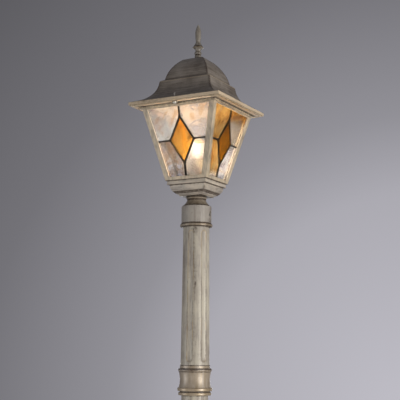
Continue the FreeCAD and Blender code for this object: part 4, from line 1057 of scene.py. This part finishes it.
# %% [markdown]
# ## The studio
#
# The lantern stands on a pale round floor in front of a grey wall that is brightest low on the right.
# A wall would hide the lantern from behind, so the grey comes from the world: rays from the camera,
# from reflections and through glass see the glow, and everything else sees a weak even light. To the
# same rays the floor adds a little glow of its own, so it shows pale and still keeps a shadow. Three
# large soft lights stand low, because the photograph's roof is dark while its eaves are bright.

# %% Floor
FLOOR_RADIUS = 1.5
FLOOR_FADE = (0.45 * FLOOR_RADIUS, 0.98 * FLOOR_RADIUS)
FLOOR_GLOW = 0.24
FLOOR_GRAIN = 5
FLOOR_SIDES = 96


def looking_rays(tree):
    """1 for rays from the camera, from reflections and through glass, 0 for all others."""
    rays = add(tree, "ShaderNodeLightPath").outputs
    looking = calc(tree, "MAXIMUM", rays["Is Camera Ray"], rays["Is Glossy Ray"])
    return calc(tree, "MAXIMUM", looking, rays["Is Transmission Ray"])


floor_finish, tree, place = new_finish("pale_floor")
from_post = vector(tree, "LENGTH", vector(tree, "MULTIPLY", place, (1, 1, 0)))
matt = shader(tree, "Diffuse", {
    "Color": tint(tree, grain(tree, place, FLOOR_GRAIN), colour(0.74, 0.74, 0.75), colour(0.70, 0.70, 0.71))})
pale = add(tree, "ShaderNodeEmission", {
    "Color": colour(1.0, 1.0, 1.03), "Strength": calc(tree, "MULTIPLY", looking_rays(tree), FLOOR_GLOW)})
lit = add(tree, "ShaderNodeAddShader", {0: matt, 1: pale.outputs[0]})
show(tree, mixed(tree, spread(tree, from_post, *FLOOR_FADE), lit.outputs[0], shader(tree, "Transparent", {})))
floor = plain_piece("floor", ring(FLOOR_RADIUS, 0, FLOOR_SIDES), [tuple(range(FLOOR_SIDES))], floor_finish)
print("floor radius:", FLOOR_RADIUS)

# %% World
GLOW_RIGHT_PIXELS = 230
GLOW_DOWN_PIXELS = 230
GLOW_REACH = 1.6
WALL_GREYS = ((0.03, 0.51), (0.15, 0.41), (0.20, 0.285), (0.29, 0.172), (0.40, 0.104), (0.95, 0.30))
EVEN_LIGHT = 0.09

world = bpy.data.worlds.new("studio")
world.use_nodes = True
scene.world = world
tree = world.node_tree
tree.nodes.clear()
in_frame = Vector((GLOW_RIGHT_PIXELS, -GLOW_DOWN_PIXELS, -FOCAL_PIXELS))
wall_glow = (view_turn.to_3x3() @ in_frame).normalized()
direction = add(tree, "ShaderNodeTexCoord").outputs["Generated"]
toward = calc(tree, "MINIMUM", vector(tree, "DOT_PRODUCT", direction, wall_glow), 1.0)
off_glow = calc(tree, "ARCCOSINE", toward)
wall = add(tree, "ShaderNodeValToRGB", {"Fac": calc(tree, "DIVIDE", off_glow, GLOW_REACH)})
ramp = wall.color_ramp
while len(ramp.elements) < len(WALL_GREYS):
    ramp.elements.new(1.0)
for element, (angle, grey) in zip(ramp.elements, WALL_GREYS):
    element.position = angle
    element.color = colour(grey, grey * 0.98, grey * 1.08)
even = add(tree, "ShaderNodeBackground", {"Color": colour(0.98, 0.98, 1.0), "Strength": EVEN_LIGHT})
shown = add(tree, "ShaderNodeBackground", {"Color": wall.outputs["Color"], "Strength": 1.0})
sky = mixed(tree, looking_rays(tree), even.outputs[0], shown.outputs[0])
add(tree, "ShaderNodeOutputWorld", {"Surface": sky})
print("wall greys:", len(WALL_GREYS))

# %% Soft lights
AIM = Vector((0, 0, 0.72))


def soft_light(name, swing, distance, height, wide, tall, level, warmth):
    """A softbox; swing is degrees to the right of the view, level the light on a facing white card."""
    angle = VIEW_HEADING - math.pi / 2 + math.radians(swing)
    light = bpy.data.lights.new(name, "AREA")
    light.shape = "RECTANGLE"
    light.size = wide
    light.size_y = tall
    light.color = warmth
    stand = Vector((math.cos(angle) * distance, math.sin(angle) * distance, height))
    to_lantern = AIM - stand
    light.energy = level * (math.pi * to_lantern.length) ** 2
    softbox = bpy.data.objects.new(name, light)
    softbox.location = stand
    softbox.rotation_euler = to_lantern.to_track_quat("-Z", "Y").to_euler()
    softbox.visible_camera = False
    scene.collection.objects.link(softbox)
    print(name, "level %.2f, %.0f W" % (level, light.energy))


soft_light("right_softbox", swing=44, distance=2.1, height=0.30, wide=0.8, tall=1.2,
           level=0.82, warmth=(1.0, 0.97, 0.92))
soft_light("left_softbox", swing=-76, distance=2.4, height=0.25, wide=0.8, tall=1.2,
           level=0.28, warmth=(1.0, 0.99, 0.97))
soft_light("rear_softbox", swing=176, distance=2.6, height=0.42, wide=1.4, tall=0.7,
           level=0.12, warmth=(1.0, 1.0, 1.0))
